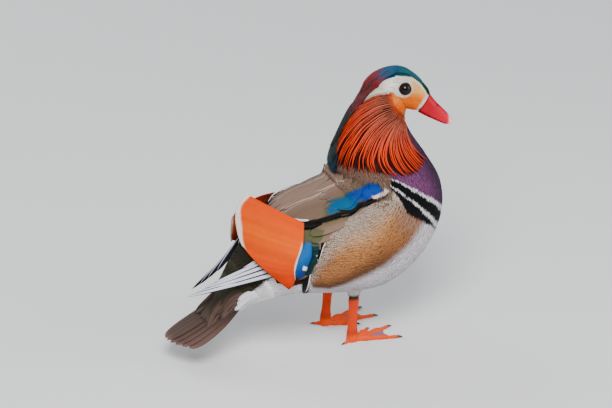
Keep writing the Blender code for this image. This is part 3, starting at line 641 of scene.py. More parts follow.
@dataclass
class FeatherKind:
    """Shape of one kind of feather.

    Attributes:
        columns: Points across its upper face.
        rings: Rings from root to tip.
        thick: Thickness at the shaft.
        camber: How far the edges drop, as a share of half the width.
        root: Width at the root as a share.
        widest: Place of the greatest width.
        point: Sharpness of the tip.
    """

    columns: int = 3
    rings: int = 4
    thick: float = 0.35
    camber: float = 0.16
    root: float = 0.55
    widest: float = 0.45
    point: float = 2.0

    def profile(self, s: Array) -> Array:
        """The share of the width at s from root to tip.

        Args:
            s: Shares of the length, from root to tip.

        Returns:
            The shares.
        """
        rise = self.root + (1 - self.root) * step(0.0, self.widest, s)
        start = self.widest * 0.6
        narrowing = (np.maximum(s - start, 0) / (1 - start)) ** self.point
        return rise * np.maximum(1 - narrowing, 0.0) ** 0.6 + 0.02


def shaded(colour: Array, root: float = 1.0, rise: float = 0.0, shaft: float = 0.0) -> Tint:
    """The tint of feathers that have a colour at each ring, with painted shade at the roots and edges and a
    painted highlight along the shaft, as far as the factors ask.

    Args:
        colour: Colours by feather and ring.
        root: Brightness at the edges by the root, where the painted shade is deepest.
        rise: How much brighter the tip is, as the painted shade lifts towards it.
        shaft: How much brighter the shaft is than the edges, as a painted highlight.

    Returns:
        The tint, as FeatherMesh.add takes it.
    """
    # Painted shade and highlight: the colour is darkened at the root and the edges and lightened along the
    # shaft.
    return lambda s, x: colour[:, :, None] * (root + rise * s + shaft * (1 - np.abs(x)))[..., None]


class FeatherMesh:
    """A mesh that many closed feathers are laid into."""

    # Width and length of a feather's own patch on the unwrap.
    PATCH = (0.0015, 0.003)

    def __init__(self, name: str) -> None:
        """Starts an empty mesh of that name.

        Args:
            name: Name of the piece.
        """
        self.name = name
        self.points: list[Array] = []
        self.tints: list[Array] = []
        self.bakes: list[Array] = []
        self.vanes: list[Array] = []
        self.faces: list[tuple[Array, Array]] = []
        self.count = 0

    def add_rings(self, rings: Array, tint: Array, bake: Array, along: Array, across: Array) -> None:
        """Adds closed bodies, each a row of rings.

        Args:
            rings: Points, by body, ring and place in the ring.
            tint: Colours of the points.
            bake: The root's place on the unwrap, for each body.
            along: Distance along the feather in millimetres, by body and ring.
            across: Place across the feather, -1 to 1, by place in the ring.
        """
        n, k, r, _ = rings.shape
        base = self.count + np.arange(n)[:, None, None] * (k * r)
        ring = np.arange(k - 1)[None, :, None] * r
        a = np.arange(r)[None, None, :]
        b = (a + 1) % r
        quads = base + stack(ring + a, ring + b, ring + r + b, ring + r + a).reshape(1, -1, 4)
        ends = np.stack([np.arange(r)[::-1], (k - 1) * r + np.arange(r)])
        self.faces.append((quads.reshape(-1, 4), (base + ends[None]).reshape(-1, r)))
        self.points.append(rings.reshape(-1, 3))
        self.tints.append(np.broadcast_to(tint, (n, k, r, 3)).reshape(-1, 3))
        run = along / np.maximum(along[:, -1:], 1e-6)
        patch = stack(across * self.PATCH[0], run[..., None] * self.PATCH[1])
        self.bakes.append((np.asarray(bake)[:, None, None, :] + patch).reshape(-1, 2))
        self.vanes.append(stack(across * 0.5 + 0.5, along[..., None] * 0.1).reshape(-1, 2))
        self.count += n * k * r

    def add(self, path: Array, normal: Array, width: Array, kind: FeatherKind, tint: Tint, bake: Array,
            roll: float = 0.0) -> None:
        """Adds feathers that follow paths.

        Args:
            path: Middle points, by feather and ring.
            normal: Outward directions at the points.
            width: Full width of each feather.
            kind: Shape of the feathers.
            tint: Gives colours from the places along, 0 to 1, and across, -1 to 1.
            bake: The root's place on the unwrap, for each feather.
            roll: Turn about the path in degrees, which lays one edge under the next feather.
        """
        width, (n, k, _) = np.atleast_1d(width), path.shape
        run = unit(np.gradient(path, axis=1))
        across = unit(np.cross(run, normal))
        up = np.cross(across, run)
        c, s = math.cos(math.radians(roll)), math.sin(math.radians(roll))
        across, up = across * c + up * s, up * c - across * s
        share = np.linspace(0, 1, k)
        half = 0.5 * width[:, None] * kind.profile(share)[None]
        x = np.linspace(-1, 1, kind.columns)
        deep = kind.thick * (1 - 0.6 * share)[None, :, None]
        rise = 0.5 * deep * (1 - x**2) - kind.camber * half[..., None] * x**2
        if kind.columns > 3:
            x = np.append(x, 0.0)
            rise = np.concatenate([rise, np.broadcast_to(-0.5 * deep, (n, k, 1))], -1)
        wide = (half[..., None] * x)[..., None]
        rings = path[:, :, None] + across[:, :, None] * wide + up[:, :, None] * rise[..., None]
        lengths = np.linalg.norm(np.diff(path, axis=1), axis=-1)
        along = np.concatenate([np.zeros((n, 1)), np.cumsum(lengths, 1)], 1)
        colours = tint(share[None, :, None], x[None, None, :])
        self.add_rings(rings[:, :, ::-1], colours[:, :, ::-1], bake, along, x[::-1])

    def build(self, finish: Material) -> Piece:
        """Makes the object, with its colours and both of its UV maps.

        Args:
            finish: Material of the piece.

        Returns:
            The piece.
        """
        loops, starts, at = [], [], 0
        for block in (block for pair in self.faces for block in pair):
            loops.append(block.ravel())
            starts.append(at + np.arange(len(block)) * block.shape[1])
            at += block.size
        parts = (np.concatenate(part) for part in (self.points, loops, starts))
        piece = raw_mesh(self.name, *parts, finish)
        paint(piece, np.concatenate(self.tints))
        unwrap(piece, np.concatenate(self.bakes))
        unwrap(piece, np.concatenate(self.vanes), "Vane")
        return piece


def raw_mesh(name: str, points: Array, loops: Array, starts: Array, finish: Material) -> Piece:
    """A smooth object from flat lists.

    Args:
        name: Name of the piece.
        points: Points in the bird's axes.
        loops: Corners of all faces, as numbers of points.
        starts: Where each face's corners start.
        finish: Its material.

    Returns:
        The piece.
    """
    mesh = bpy.data.meshes.new(name)
    mesh.vertices.add(len(points))
    mesh.vertices.foreach_set("co", to_world(points).astype(np.float32).ravel())
    mesh.loops.add(len(loops))
    mesh.loops.foreach_set("vertex_index", loops.astype(np.int32))
    mesh.polygons.add(len(starts))
    mesh.polygons.foreach_set("loop_start", starts.astype(np.int32))
    mesh.update(calc_edges=True)
    mesh.shade_smooth()
    mesh.materials.append(finish)
    piece = bpy.data.objects.new(name, mesh)
    bpy.context.scene.collection.objects.link(piece)
    return piece


def tube_mesh(name: str, rings: Array, finish: Material, closed: bool = False) -> Piece:
    """A closed loft through rings.

    Args:
        name: Name of the piece.
        rings: Points, by ring and place in the ring.
        finish: Its material.
        closed: Whether the last ring joins the first, in place of two end faces.

    Returns:
        The piece.
    """
    k, r, _ = rings.shape
    spans = k if closed else k - 1
    a = np.arange(spans)[:, None] * r + np.arange(r)[None]
    b = np.arange(spans)[:, None] * r + (np.arange(r)[None] + 1) % r
    c, d = (b + r) % (k * r), (a + r) % (k * r)
    quads = stack(a, b, c, d).reshape(-1, 4)
    loops, starts = quads.ravel(), np.arange(len(quads)) * 4
    if not closed:
        caps = np.concatenate([np.arange(r)[::-1], (k - 1) * r + np.arange(r)])
        starts = np.append(starts, [len(loops), len(loops) + r])
        loops = np.append(loops, caps)
    piece = raw_mesh(name, rings.reshape(-1, 3), loops, starts, finish)
    face_out(piece)
    return piece


def face_out(piece: Piece) -> None:
    """Turns a closed mesh's faces outwards.

    Args:
        piece: The piece.
    """
    bm = bmesh.new()
    bm.from_mesh(piece.data)
    bmesh.ops.recalc_face_normals(bm, faces=bm.faces)
    bm.to_mesh(piece.data)
    bm.free()


def corners(piece: Piece) -> Array:
    """The mesh's points in the bird's axes.

    Args:
        piece: The piece.

    Returns:
        The points.
    """
    flat = np.empty(len(piece.data.vertices) * 3, np.float32)
    piece.data.vertices.foreach_get("co", flat)
    return flat.reshape(-1, 3) / MM - ORIGIN


def put_corners(piece: Piece, points: Array) -> None:
    """Moves the mesh's points to places in the bird's axes."""
    piece.data.vertices.foreach_set("co", to_world(points).astype(np.float32).ravel())
    piece.data.update()


def paint(piece: Piece, colours: Array) -> None:
    """Gives the mesh's points their colours, in the attribute that its material reads.

    Args:
        piece: The piece.
        colours: A linear colour for each point.
    """
    full = np.ones((len(colours), 4), np.float32)
    full[:, :3] = np.clip(colours, 0, 1)
    layer = piece.data.color_attributes.new("tint", "FLOAT_COLOR", "POINT")
    layer.data.foreach_set("color", full.ravel())


def unwrap(piece: Piece, places: Array, name: str = "OFBake") -> None:
    """Gives the mesh a UV map with one place for each point.

    Args:
        piece: The piece.
        places: A place on the map for each point.
        name: Name of the map.
    """
    layer = piece.data.uv_layers.new(name=name)
    index = np.empty(len(piece.data.loops), np.int32)
    piece.data.loops.foreach_get("vertex_index", index)
    layer.data.foreach_set("uv", places[index].astype(np.float32).ravel())


def run_modifier(piece: Piece, kind: str, **settings: object) -> None:
    """Adds a modifier to a piece and applies it.

    Args:
        piece: The piece.
        kind: Type of the modifier.
        settings: Its settings.
    """
    bpy.ops.object.select_all(action="DESELECT")
    bpy.context.view_layer.objects.active = piece
    piece.select_set(True)
    modifier = piece.modifiers.new(kind.lower(), kind)
    for name, value in settings.items():
        setattr(modifier, name, value)
    bpy.ops.object.modifier_apply(modifier=modifier.name)
    piece.select_set(False)


def discard(piece: Piece) -> None:
    """Removes a helper object and its mesh.

    Args:
        piece: The piece.
    """
    mesh = piece.data
    bpy.data.objects.remove(piece, do_unlink=True)
    bpy.data.meshes.remove(mesh)


def settle(piece: Piece, slot: str, *nodes: str) -> Piece:
    """Sets a piece on the body's root, in place of CAD nodes, and logs its count of faces.

    Args:
        piece: The piece.
        slot: Its slot; not used.
        nodes: CAD nodes that it replaces.

    Returns:
        The piece.
    """
    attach(piece, "root")
    if nodes:
        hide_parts(*nodes)
    LOG.info("%s: %d faces", piece.name, len(piece.data.polygons))
    return piece


EYE_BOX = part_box("eye_right")
EYE_CENTRE = from_head(EYE_SPOT * (1, -1, 1))
ORIGIN = np.array((EYE_BOX[0] + EYE_BOX[1]) / 2) / MM - EYE_CENTRE


def to_world(points: Array) -> Array:
    """Points in metres in the row frame."""
    return (np.asarray(points) + ORIGIN) * MM


def head_ball(spot: Array, axis: str, turn: float, size: Sequence[float], segments: int,
              rings: int) -> Piece:
    """A ball on the head.

    Args:
        spot: Its middle in the head's own axes.
        axis: Axis of the head that it is turned about.
        turn: How far, in degrees.
        size: Half its sizes in millimetres.
        segments: Its segments.
        rings: Its rings.

    Returns:
        The ball.
    """
    bpy.ops.object.select_all(action="DESELECT")
    bpy.ops.mesh.primitive_uv_sphere_add(segments=segments, ring_count=rings, radius=1.0)
    ball = bpy.context.object
    way = Matrix(HEAD_TURN.tolist()) @ Matrix.Rotation(math.radians(turn), 3, axis)
    place = Matrix.Translation(Vector(to_world(from_head(spot)))) @ way.to_4x4()
    ball.data.transform(place @ Matrix.Diagonal((*(MM * half for half in size), 1)))
    return ball


class Grain(Enum):
    """The fine pattern that a plumage finish draws."""

    PLAIN = "plain"
    BARBED = "barbed"
    VERMICULATED = "vermiculated"


class NodeSheet:
    """A short way to write a material's nodes."""

    def __init__(self, name: str) -> None:
        """Starts a material with a Principled shader.

        Args:
            name: Name of the material.
        """
        self.material = bpy.data.materials.new(name)
        self.material.use_nodes = True
        self.tree = self.material.node_tree
        self.shader = self.tree.nodes["Principled BSDF"]

    def node(self, kind: str, **inputs: object) -> bpy.types.Node:
        """Adds a node, with settings, and with inputs that are values or other nodes' outputs.

        Args:
            kind: Type of the node.
            inputs: By name. One that starts with "in_" is an input's number or name, and others
                are settings.

        Returns:
            The node.
        """
        made = self.tree.nodes.new(kind)
        for name, value in inputs.items():
            if not name.startswith("in_"):
                setattr(made, name, value)
        for name, value in inputs.items():
            if name.startswith("in_"):
                key = name[3:].replace("_", " ")
                self.feed(made.inputs[int(key)] if key.isdigit() else made.inputs[key], value)
        return made

    def feed(self, socket: Socket, value: object) -> None:
        """Sets a socket's value, or links it.

        Args:
            socket: Socket of a node.
            value: A value, or another node's output.
        """
        if isinstance(value, Socket):
            self.tree.links.new(value, socket)
        else:
            socket.default_value = value

    def math(self, operation: str, a: object, b: object = 0.0) -> Socket:
        """One sum of two values."""
        return self.node("ShaderNodeMath", operation=operation, in_0=a, in_1=b).outputs[0]

    def shade(self, a: object, b: object, share: object, mode: str = "MIX") -> Socket:
        """A mix of two colours.

        Args:
            a: First colour.
            b: Second colour.
            share: Share of the second.
            mode: How they are mixed.

        Returns:
            The mix.
        """
        made = self.node("ShaderNodeMix", data_type="RGBA", blend_type=mode, in_0=share)
        self.feed(made.inputs[6], a)
        self.feed(made.inputs[7], b)
        return made.outputs[2]

    def darker(self, colour: Socket, amount: float) -> Socket:
        """A colour made darker by an amount, 0 to 1."""
        return self.node("ShaderNodeHueSaturation", in_Value=1 - amount, in_Color=colour).outputs[0]

    def tinted(self, scale: float, spread: float) -> Socket:
        """The mesh's own colour, with darker blotches over it."""
        colour = self.node("ShaderNodeAttribute", attribute_name="tint").outputs["Color"]
        return self.shade(colour, self.darker(colour, spread), self.noise(scale, 3.0))

    def noise(self, scale: float, detail: float = 2.0, where: Optional[Socket] = None) -> Socket:
        """Noise over the object, in cycles per metre."""
        spot = where or self.node("ShaderNodeTexCoord").outputs["Object"]
        return self.node("ShaderNodeTexNoise", in_Vector=spot, in_Scale=scale, in_Detail=detail).outputs[0]

    def bump(self, height: Socket, strength: float, distance: float) -> None:
        """Raises the surface by a height."""
        made = self.node("ShaderNodeBump", in_Height=height, in_Strength=strength, in_Distance=distance)
        self.feed(self.shader.inputs["Normal"], made.outputs[0])

    def finish(self, colour: Socket, **sockets: object) -> Material:
        """Links the colour and sets the shader's own values.

        Args:
            colour: Colour of the surface.
            sockets: Other inputs of the shader, with "_" for a space.

        Returns:
            The material.
        """
        self.feed(self.shader.inputs["Base Color"], colour)
        for name, value in sockets.items():
            self.feed(self.shader.inputs[name.replace("_", " ")], value)
        return self.material


@dataclass(frozen=True)
class PlumageFinish:
    """Feathers, coloured by their mesh.

    Attributes:
        name: Name of the material.
        grain: Fine pattern on each vane.
        rough: Roughness.
        barbs: Depth of the barbs' lines in the colour.
        spread: Depth of the soft blotches in the colour.
        gloss: Specular level.
        pitch: Barbs' lines, in radians to a centimetre along the vane.
        slant: How far the barbs' lines run back towards the shaft.
        lane: Distance between the flank's fine dark lines in millimetres.
    """

    name: str
    grain: Grain = Grain.BARBED
    rough: float = 0.62
    barbs: float = 0.22
    spread: float = 0.14
    gloss: float = 0.1
    pitch: float = 95.0
    slant: float = -0.55
    lane: float = 2.0

    def make(self) -> Material:
        """Builds the material.

        Returns:
            The material.
        """
        sheet = NodeSheet(self.name)
        colour, height = sheet.tinted(160.0, self.spread), sheet.noise(1400.0, 1.0)
        if self.grain is not Grain.PLAIN:
            vane = sheet.node("ShaderNodeUVMap", uv_map="Vane").outputs[0]
            parts = sheet.node("ShaderNodeSeparateXYZ", in_Vector=vane)
            side = sheet.math("ABSOLUTE", sheet.math("SUBTRACT", parts.outputs[0], 0.5))
            slant = sheet.math("ADD", parts.outputs[1], sheet.math("MULTIPLY", side, self.slant))
            wave = sheet.math("SINE", sheet.math("MULTIPLY", slant, self.pitch))
            line = sheet.math("MULTIPLY", sheet.math("ADD", wave, 1.0), 0.5)
            colour = sheet.shade(colour, sheet.darker(colour, self.barbs), line)
            height = sheet.math("ADD", height, sheet.math("MULTIPLY", line, 0.6))
        if self.grain is Grain.VERMICULATED:
            flow = sheet.node("ShaderNodeAttribute", attribute_name="flow").outputs["Vector"]
            lanes = sheet.node("ShaderNodeSeparateXYZ", in_Vector=flow)
            waver = sheet.math("MULTIPLY", sheet.noise(0.22, 2.0, flow), 3.0)
            place = sheet.math("ADD", lanes.outputs[0], waver)
            ripple = sheet.math("SINE", sheet.math("MULTIPLY", place, 2 * math.pi / self.lane))
            fine = sheet.node("ShaderNodeMapRange", in_0=ripple, in_1=0.1, in_2=0.9).outputs[0]
            share = sheet.math("MULTIPLY", fine, lanes.outputs[2])
            colour = sheet.shade(colour, (0.045, 0.03, 0.022, 1), share)
        sheet.bump(height, 0.35, 0.0004)
        return sheet.finish(colour, Roughness=self.rough, Specular_IOR_Level=self.gloss)


@dataclass(frozen=True)
class SkinFinish:
    """A smooth surface coloured by its mesh, such as horn, scales or the eye.

    Attributes:
        name: Name of the material.
        rough: Roughness.
        coat: Weight of the wet coat.
        grain: Scale of the fine bumps, in cycles per metre.
        depth: Height of the fine bumps in metres.
        spread: Depth of the soft blotches in the colour.
        gloss: Specular level.
    """

    name: str
    rough: float
    coat: float = 0.0
    grain: float = 900.0
    depth: float = 0.00015
    spread: float = 0.12
    gloss: float = 0.5

    def make(self) -> Material:
        """Builds the material.

        Returns:
            The material.
        """
        sheet = NodeSheet(self.name)
        sheet.bump(sheet.noise(self.grain, 2.0), 0.3, self.depth)
        return sheet.finish(sheet.tinted(self.grain * 0.3, self.spread), Roughness=self.rough,
                            Coat_Weight=self.coat, Coat_Roughness=0.05, Specular_IOR_Level=self.gloss)


@dataclass(frozen=True)
class FloorFinish:
    """The pale studio floor."""

    name: str = "studio_floor"

    def make(self) -> Material:
        """Builds the material.

        Returns:
            The material.
        """
        sheet = NodeSheet(self.name)
        colour = sheet.shade((0.7, 0.7, 0.69, 1), (0.74, 0.74, 0.73, 1), sheet.noise(3.0, 4.0))
        return sheet.finish(colour, Roughness=0.85, Specular_IOR_Level=0.2)


def place_uv(t: Array, angle: Array) -> Array:
    """Places on the unwrap of the trunk, the lower half of the sheet."""
    return stack(np.mod(np.asarray(angle) / 360 + 0.5, 1.0) * 0.98, np.asarray(t) * 0.6)


def head_uv(spot: Array) -> Array:
    """Places on the unwrap of the head, in the upper half of the sheet.

    Args:
        spot: Points in the head's own axes.

    Returns:
        Places on the sheet.
    """
    around = np.arctan2(spot[..., 1], spot[..., 2] + 8)
    ahead = np.clip((spot[..., 0] + 60) / 92, 0, 1)
    return stack(0.49 + around / (2 * math.pi) * 0.96, 0.64 + ahead * 0.34)


def join(piece: Piece, *others: Piece) -> None:
    """Makes one body of closed bodies.

    Args:
        piece: First body, which takes the others.
        others: The other bodies.
    """
    for other in others:
        run_modifier(piece, "BOOLEAN", operation="UNION", object=other, solver="MANIFOLD")
        discard(other)


@dataclass
class Skin:
    """The flesh under the coat: trunk, head and thighs as one body.

    Attributes:
        plumage: Colours of the coat, which the skin carries too.
        along: Rings of the trunk.
        around: Sides of the trunk.
        ankles: Places of the ankles, right and left.
        piece: The finished skin.
        tree: Its faces, for finding places on it.
    """

    plumage: Plumage
    along: int = 240
    around: int = 160
    ankles: Line = ((7, -18, 45), (-3, 21, 45))
    piece: Piece = field(init=False, default=None)
    tree: BVHTree = field(init=False, default=None)

    def build(self) -> Piece:
        """Makes the skin and paints it with the coat's colours.

        Returns:
            The skin.
        """
        finish = PlumageFinish("skin_down", Grain.PLAIN, 0.8).make()
        places = grid(np.linspace(0, 1, self.along), np.arange(self.around) * 360 / self.around)
        body = tube_mesh("body_skin", body_at(*places, -COAT), finish)
        places = grid(np.linspace(0, 1, 90), np.arange(96) * 3.75)
        skull = tube_mesh("skull", behind_bill(skull_at(*places, -COAT * 0.8)), finish)
        join(body, skull, *(self.thigh(ankle, finish) for ankle in self.ankles))
        self.piece = body
        bm = bmesh.new()
        bm.from_mesh(body.data)
        self.tree = BVHTree.FromBMesh(bm)
        bm.free()
        self.dress()
        return settle(body, "breast", "torso", "neck", "head", "thigh_right", "thigh_left")

    def thigh(self, ankle: Sequence[float], finish: Material) -> Piece:
        """One feathered thigh.

        Args:
            ankle: Place where it ends.
            finish: Material of the piece.

        Returns:
            The thigh.
        """
        turn = np.radians(np.arange(40) * 9.0)
        high, ahead, deep, wide = (np.array(part)[:, None] for part in zip(*THIGH_RINGS))
        rings = stack(ankle[0] + ahead + (deep - 0.8) * np.cos(turn),
                      ankle[1] + (wide - 0.8) * np.sin(turn), ankle[2] + high)
        return tube_mesh("thigh", rings, finish)

    def places(self, points: Array) -> tuple[Array, Array]:
        """Ring number and angle of the nearest place on the trunk.

        Args:
            points: Points in the bird's axes.

        Returns:
            The ring numbers and the angles.
        """
        t = np.linspace(0, 1, 400)
        middle_x, middle_z, pitch, wide, back, belly = rows_at(TRUNK_RINGS, t).T
        sin, cos = np.sin(np.radians(pitch)), np.cos(np.radians(pitch))
        found = []
        for block in range(0, len(points), 4000):
            p = points[block:block + 4000, None]
            dx, dz = p[..., 0] - middle_x, p[..., 2] - middle_z
            lift, ahead = dz * cos - dx * sin, dx * cos + dz * sin
            high, side = lift / np.where(lift > 0, back, belly), p[..., 1] / wide
            i = (np.abs(ahead) + 6 * np.abs(np.hypot(high, side) - 1)).argmin(1)
            rows = np.arange(len(p))
            found.append(stack(t[i], np.degrees(np.arctan2(side[rows, i], high[rows, i]))))
        return tuple(np.concatenate(found).T)

    def dress(self) -> None:
        """Paints the skin and lays out its UV maps."""
        points = corners(self.piece)
        t, angle = self.places(points)
        colours = self.plumage.body(t, angle)
        wings = (t > 0.2) & (t < 0.6) & (np.abs(angle) < wing_edges(t)[1])
        colours = blend(colours, self.plumage.wing(t, angle), wings)
        spot = to_head(points)
        on_head = (spot[:, 2] > -24) & (t > 0.8)
        colours = blend(colours, self.plumage.head(spot), on_head)
        low = (points[:, 2] < 48) & (np.abs(points[:, 0]) < 30)
        # The skin takes the coat's colours, grey at the bottom between the thighs, all a fifth darker as
        # painted shade where it shows between the feathers.
        paint(self.piece, blend(colours, tone(120, 112, 108), low) * 0.8)
        unwrap(self.piece, np.where(on_head[:, None], head_uv(spot), place_uv(t, angle)))
        unwrap(self.piece, np.zeros((len(points), 2)), "Vane")

    def outside(self, points: Array, slack: float = 0.8) -> Array:
        """Whether points lie no deeper than slack, in millimetres, under the skin.

        Args:
            points: Points in the bird's axes.
            slack: The depth in millimetres.

        Returns:
            True for each point to keep.
        """
        keep = np.ones(len(points), bool)
        world = to_world(points)
        for i, spot in enumerate(world):
            where, normal, _, _ = self.tree.find_nearest(Vector(spot))
            keep[i] = (Vector(spot) - where).dot(normal) > -slack * MM
        return keep

    def find(self, inner: Array, out: Array) -> tuple[Array, Array]:
        """Finds places of the skin as seen from outside.

        Args:
            inner: Points within the bird.
            out: The ways outwards from them.

        Returns:
            The skin's outermost places on those ways, and its normals there.
        """
        starts, ways = inner.reshape(-1, 3), unit(out).reshape(-1, 3)
        spots, normals = starts.copy(), ways.copy()
        for i, (start, way) in enumerate(zip(to_world(starts + ways * 90), ways)):
            where, normal, _, _ = self.tree.ray_cast(Vector(start), Vector(-way))
            if where is not None:
                spots[i], normals[i] = np.array(where) / MM - ORIGIN, normal
        return spots.reshape(inner.shape), normals.reshape(inner.shape)


def eased(path: Array) -> Array:
    """Paths whose inner points are drawn twice towards their neighbours' middle.

    Args:
        path: Points of each path.

    Returns:
        The eased paths.
    """
    for _ in range(2):
        path[:, 1:-1] = 0.5 * path[:, 1:-1] + 0.25 * (path[:, :-2] + path[:, 2:])
    return path


def ring_angles(count: int, odd: int, loose: Array = 0.0) -> Array:
    """Angles of roots round a ring, half a place on in odd rows, and each loose by a share of a place."""
    return (np.arange(count) + 0.5 * odd + loose) / count * 360 - 180


def tuft_paths(surface: Surface, t: Array, angle: Array, length: Array, drift: Array, low: float,
               high: Array, rings: int) -> tuple[Array, Array, Array, Array]:
    """Paths of feathers that lie tailwards along a surface.

    Args:
        surface: The surface that they follow.
        t: Ring numbers of the roots.
        angle: Angles of the roots from the spine.
        length: Lengths of the feathers.
        drift: Degrees that the tips lie further to the left than the roots.
        low: Height of the roots over the surface.
        high: Height of the tips.
        rings: Points on each path.

    Returns:
        Paths, normals, and the ring numbers and angles of the points.
    """
    speed = np.linalg.norm(slope(surface, t, angle), axis=-1)
    s = np.linspace(0, 1, rings)[None]
    tt = t[:, None] - s * (length / speed)[:, None]
    aa = angle[:, None] + s * drift[:, None]
    path = surface(tt, aa, low + (high[:, None] - low) * s**0.45)
    return path, outward(surface, tt, aa), tt, aa


def scatter(first: float, last: float, spacing: float, row: float, rng: Random) -> tuple[Array, Array]:
    """Roots of feathers in offset rows on the trunk.

    Args:
        first: Ring number of the first row.
        last: Ring number of the last row.
        spacing: Distance between neighbours in a row.
        row: Distance between rows.
        rng: Source of the small shifts.

    Returns:
        Ring numbers and angles.
    """
    ts, angles, t = [], [], first
    while t < last:
        ring = trunk_at(np.full(73, t), np.arange(73) * 5.0)
        count = max(12, int(np.linalg.norm(np.diff(ring, axis=0), axis=-1).sum() / spacing))
        angles.append(ring_angles(count, len(ts) % 2, rng.uniform(-0.3, 0.3, count)))
        gap = row / np.linalg.norm(slope(trunk_at, np.array(t), np.array(90.0)))
        ts.append(t + rng.uniform(-0.35, 0.35, count) * gap)
        t += gap
    return np.concatenate(ts), np.concatenate(angles)


@dataclass
class BodyCoat:
    """The small feathers of breast, flanks, belly and rump.

    Attributes:
        spacing: Distance between neighbours in a row.
        row: Distance between rows.
        lengths: Shortest and longest feather.
        widths: Narrowest and widest feather.
    """

    plumage: Plumage
    skin: Skin
    spacing: float = 1.5
    row: float = 1.9
    lengths: tuple[float, float] = (7.0, 9.0)
    widths: tuple[float, float] = (2.0, 2.6)
    # Plumes along the flank's rear edge: places by ring number and angle, width, and whether barred.
    BORDER = (
        (((0.35, 50), (0.325, 52.5), (0.308, 57), (0.296, 64), (0.287, 73)), 4.0, True),
        (((0.352, 52.5), (0.327, 56), (0.312, 60.5), (0.3, 67), (0.289, 76.5)), 4.4, False),
        (((0.3, 66), (0.286, 70), (0.273, 76), (0.266, 86), (0.259, 99), (0.253, 115), (0.25, 130)),
         6.8, False),
    )

    def build(self) -> None:
        """Makes the coat in pieces by region."""
        rng = np.random.default_rng(11)
        t, angle = scatter(0.03, 0.8, self.spacing, self.row, rng)
        covered = np.minimum(wing_edges(t)[1], flank_edges(t)[0]) - 9
        hidden = (t > 0.24) & (t < 0.57) & (np.abs(angle) < covered)
        keep = ~hidden & self.skin.outside(body_at(t, angle, -COAT))
        t, angle = t[keep], angle[keep]
        a = np.abs(angle)
        breast = (t > 0.5) & ((t > self.plumage.bands(a)[2]) | (t > 0.6))
        belly = ~breast & (a > 118)
        rump = ~breast & ~belly & (t < 0.262)
        flank = ~(breast | belly | rump)
        plain = PlumageFinish("breast_feathers", barbs=0.1).make()
        fine = PlumageFinish("flank_feathers", Grain.VERMICULATED, barbs=0.08).make()
        soft = PlumageFinish("belly_feathers", barbs=0.08).make()
        for name, part, finish in (
            ("breast_coat", breast, plain), ("belly_coat", belly, soft), ("rump_coat", rump, soft),
            ("flank_coat_right", flank & (angle < 0), fine), ("flank_coat_left", flank & (angle > 0), fine),
        ):
            self.lay(name, t[part], angle[part], finish, rng)
        self.plumes(soft)
        for (_, word), ankle in zip(SIDES, self.skin.ankles):
            self.thigh(f"thigh_coat_{word}", ankle, soft, rng)

    def plumes(self, finish: Material) -> None:
        """Makes the black plumes at the flanks' upper rear edge, each with a white outer line.

        Args:
            finish: Material of the piece.
        """
        mesh = FeatherMesh("flank_plumes")
        kind = FeatherKind(columns=13, rings=60, thick=0.25, camber=0.05, root=0.5, widest=0.5, point=5.0)
        black, white = tone(14, 13, 16), tone(236, 230, 228)
        for side in (-1, 1):
            for points, width, barred in self.BORDER:
                share = np.linspace(0, 1, kind.rings)
                t, a = rows_at(points, share).T
                path = body_at(t, side * a, -0.9 + 1.7 * share**0.5)
                ground = self.plumage.body(t, a)

                def tint(s: Array, x: Array) -> Array:
                    """Black with a white outer line, and white bars on the barred one.

                    Args:
                        s: Shares of the length, from root to tip.
                        x: Places across the vane, from -1 to 1.

                    Returns:
                        A linear colour for each place.
                    """
                    out = x * side
                    line = step(0.5, 0.6, out) * step(0.94, 0.84, out)
                    bars = (np.sin(2 * math.pi * s * 15) > 0.1) * step(-0.6, -0.5, out) * step(0.3, 0.2, out)
                    lined = blend(black, white, np.maximum(line, bars * barred * step(0.4, 0.5, s)))
                    return blend(ground[None, :, None], lined, step(0.05, 0.3, s))

                normal = outward(trunk_at, t, side * a)
                mesh.add(path[None], normal[None], width, kind, tint,
                         place_uv(t[:1], side * a[:1]), roll=3.0 * side)
        settle(mesh.build(finish), "breast")

    def thigh(self, name: str, ankle: Sequence[float], finish: Material, rng: Random) -> None:
        """Makes the short feathers that hang down one thigh, dark where they end over the shank.

        Args:
            name: Name of the piece.
            ankle: Place where it ends.
            finish: Material of the piece.
            rng: The scene's random source.
        """
        high, turn = map(np.ravel, np.meshgrid(np.arange(3.0, 25.0, 1.5), np.arange(0, 360, 10.0)))
        turn = np.radians(turn + rng.uniform(-5, 5, turn.size))
        s = np.linspace(0, 1, 4)[None]
        place = np.maximum(high[:, None] - 5.0 * s, 0.3)
        knots = np.array(THIGH_RINGS[::-1])
        ahead, deep, wide = (np.interp(place, knots[:, 0], knots[:, i]) for i in (1, 2, 3))
        lift = -1.2 + 1.3 * s
        across, aside = np.cos(turn)[:, None], np.sin(turn)[:, None]
        path = stack(ankle[0] + ahead + (deep + lift) * across, ankle[1] + (wide + lift) * aside,
                     ankle[2] + place)
        colour = blend(tone(84, 78, 76), tone(226, 218, 216), step(1.0, 4.5, place))
        colour = colour * rng.uniform(0.9, 1.05, (high.size, 1, 1))
        mesh = FeatherMesh(name)
        # Painted shade on the feathers' roots.
        mesh.add(path, stack(across, aside, 0), rng.uniform(1.6, 2.2, high.size),
                 FeatherKind(rings=4, thick=0.2, camber=0.08), shaded(colour, 0.85, 0.15),
                 stack(0.1 + 0.06 * np.cos(turn), 0.62 + 0.0005 * high))
        settle(mesh.build(finish), "thigh")

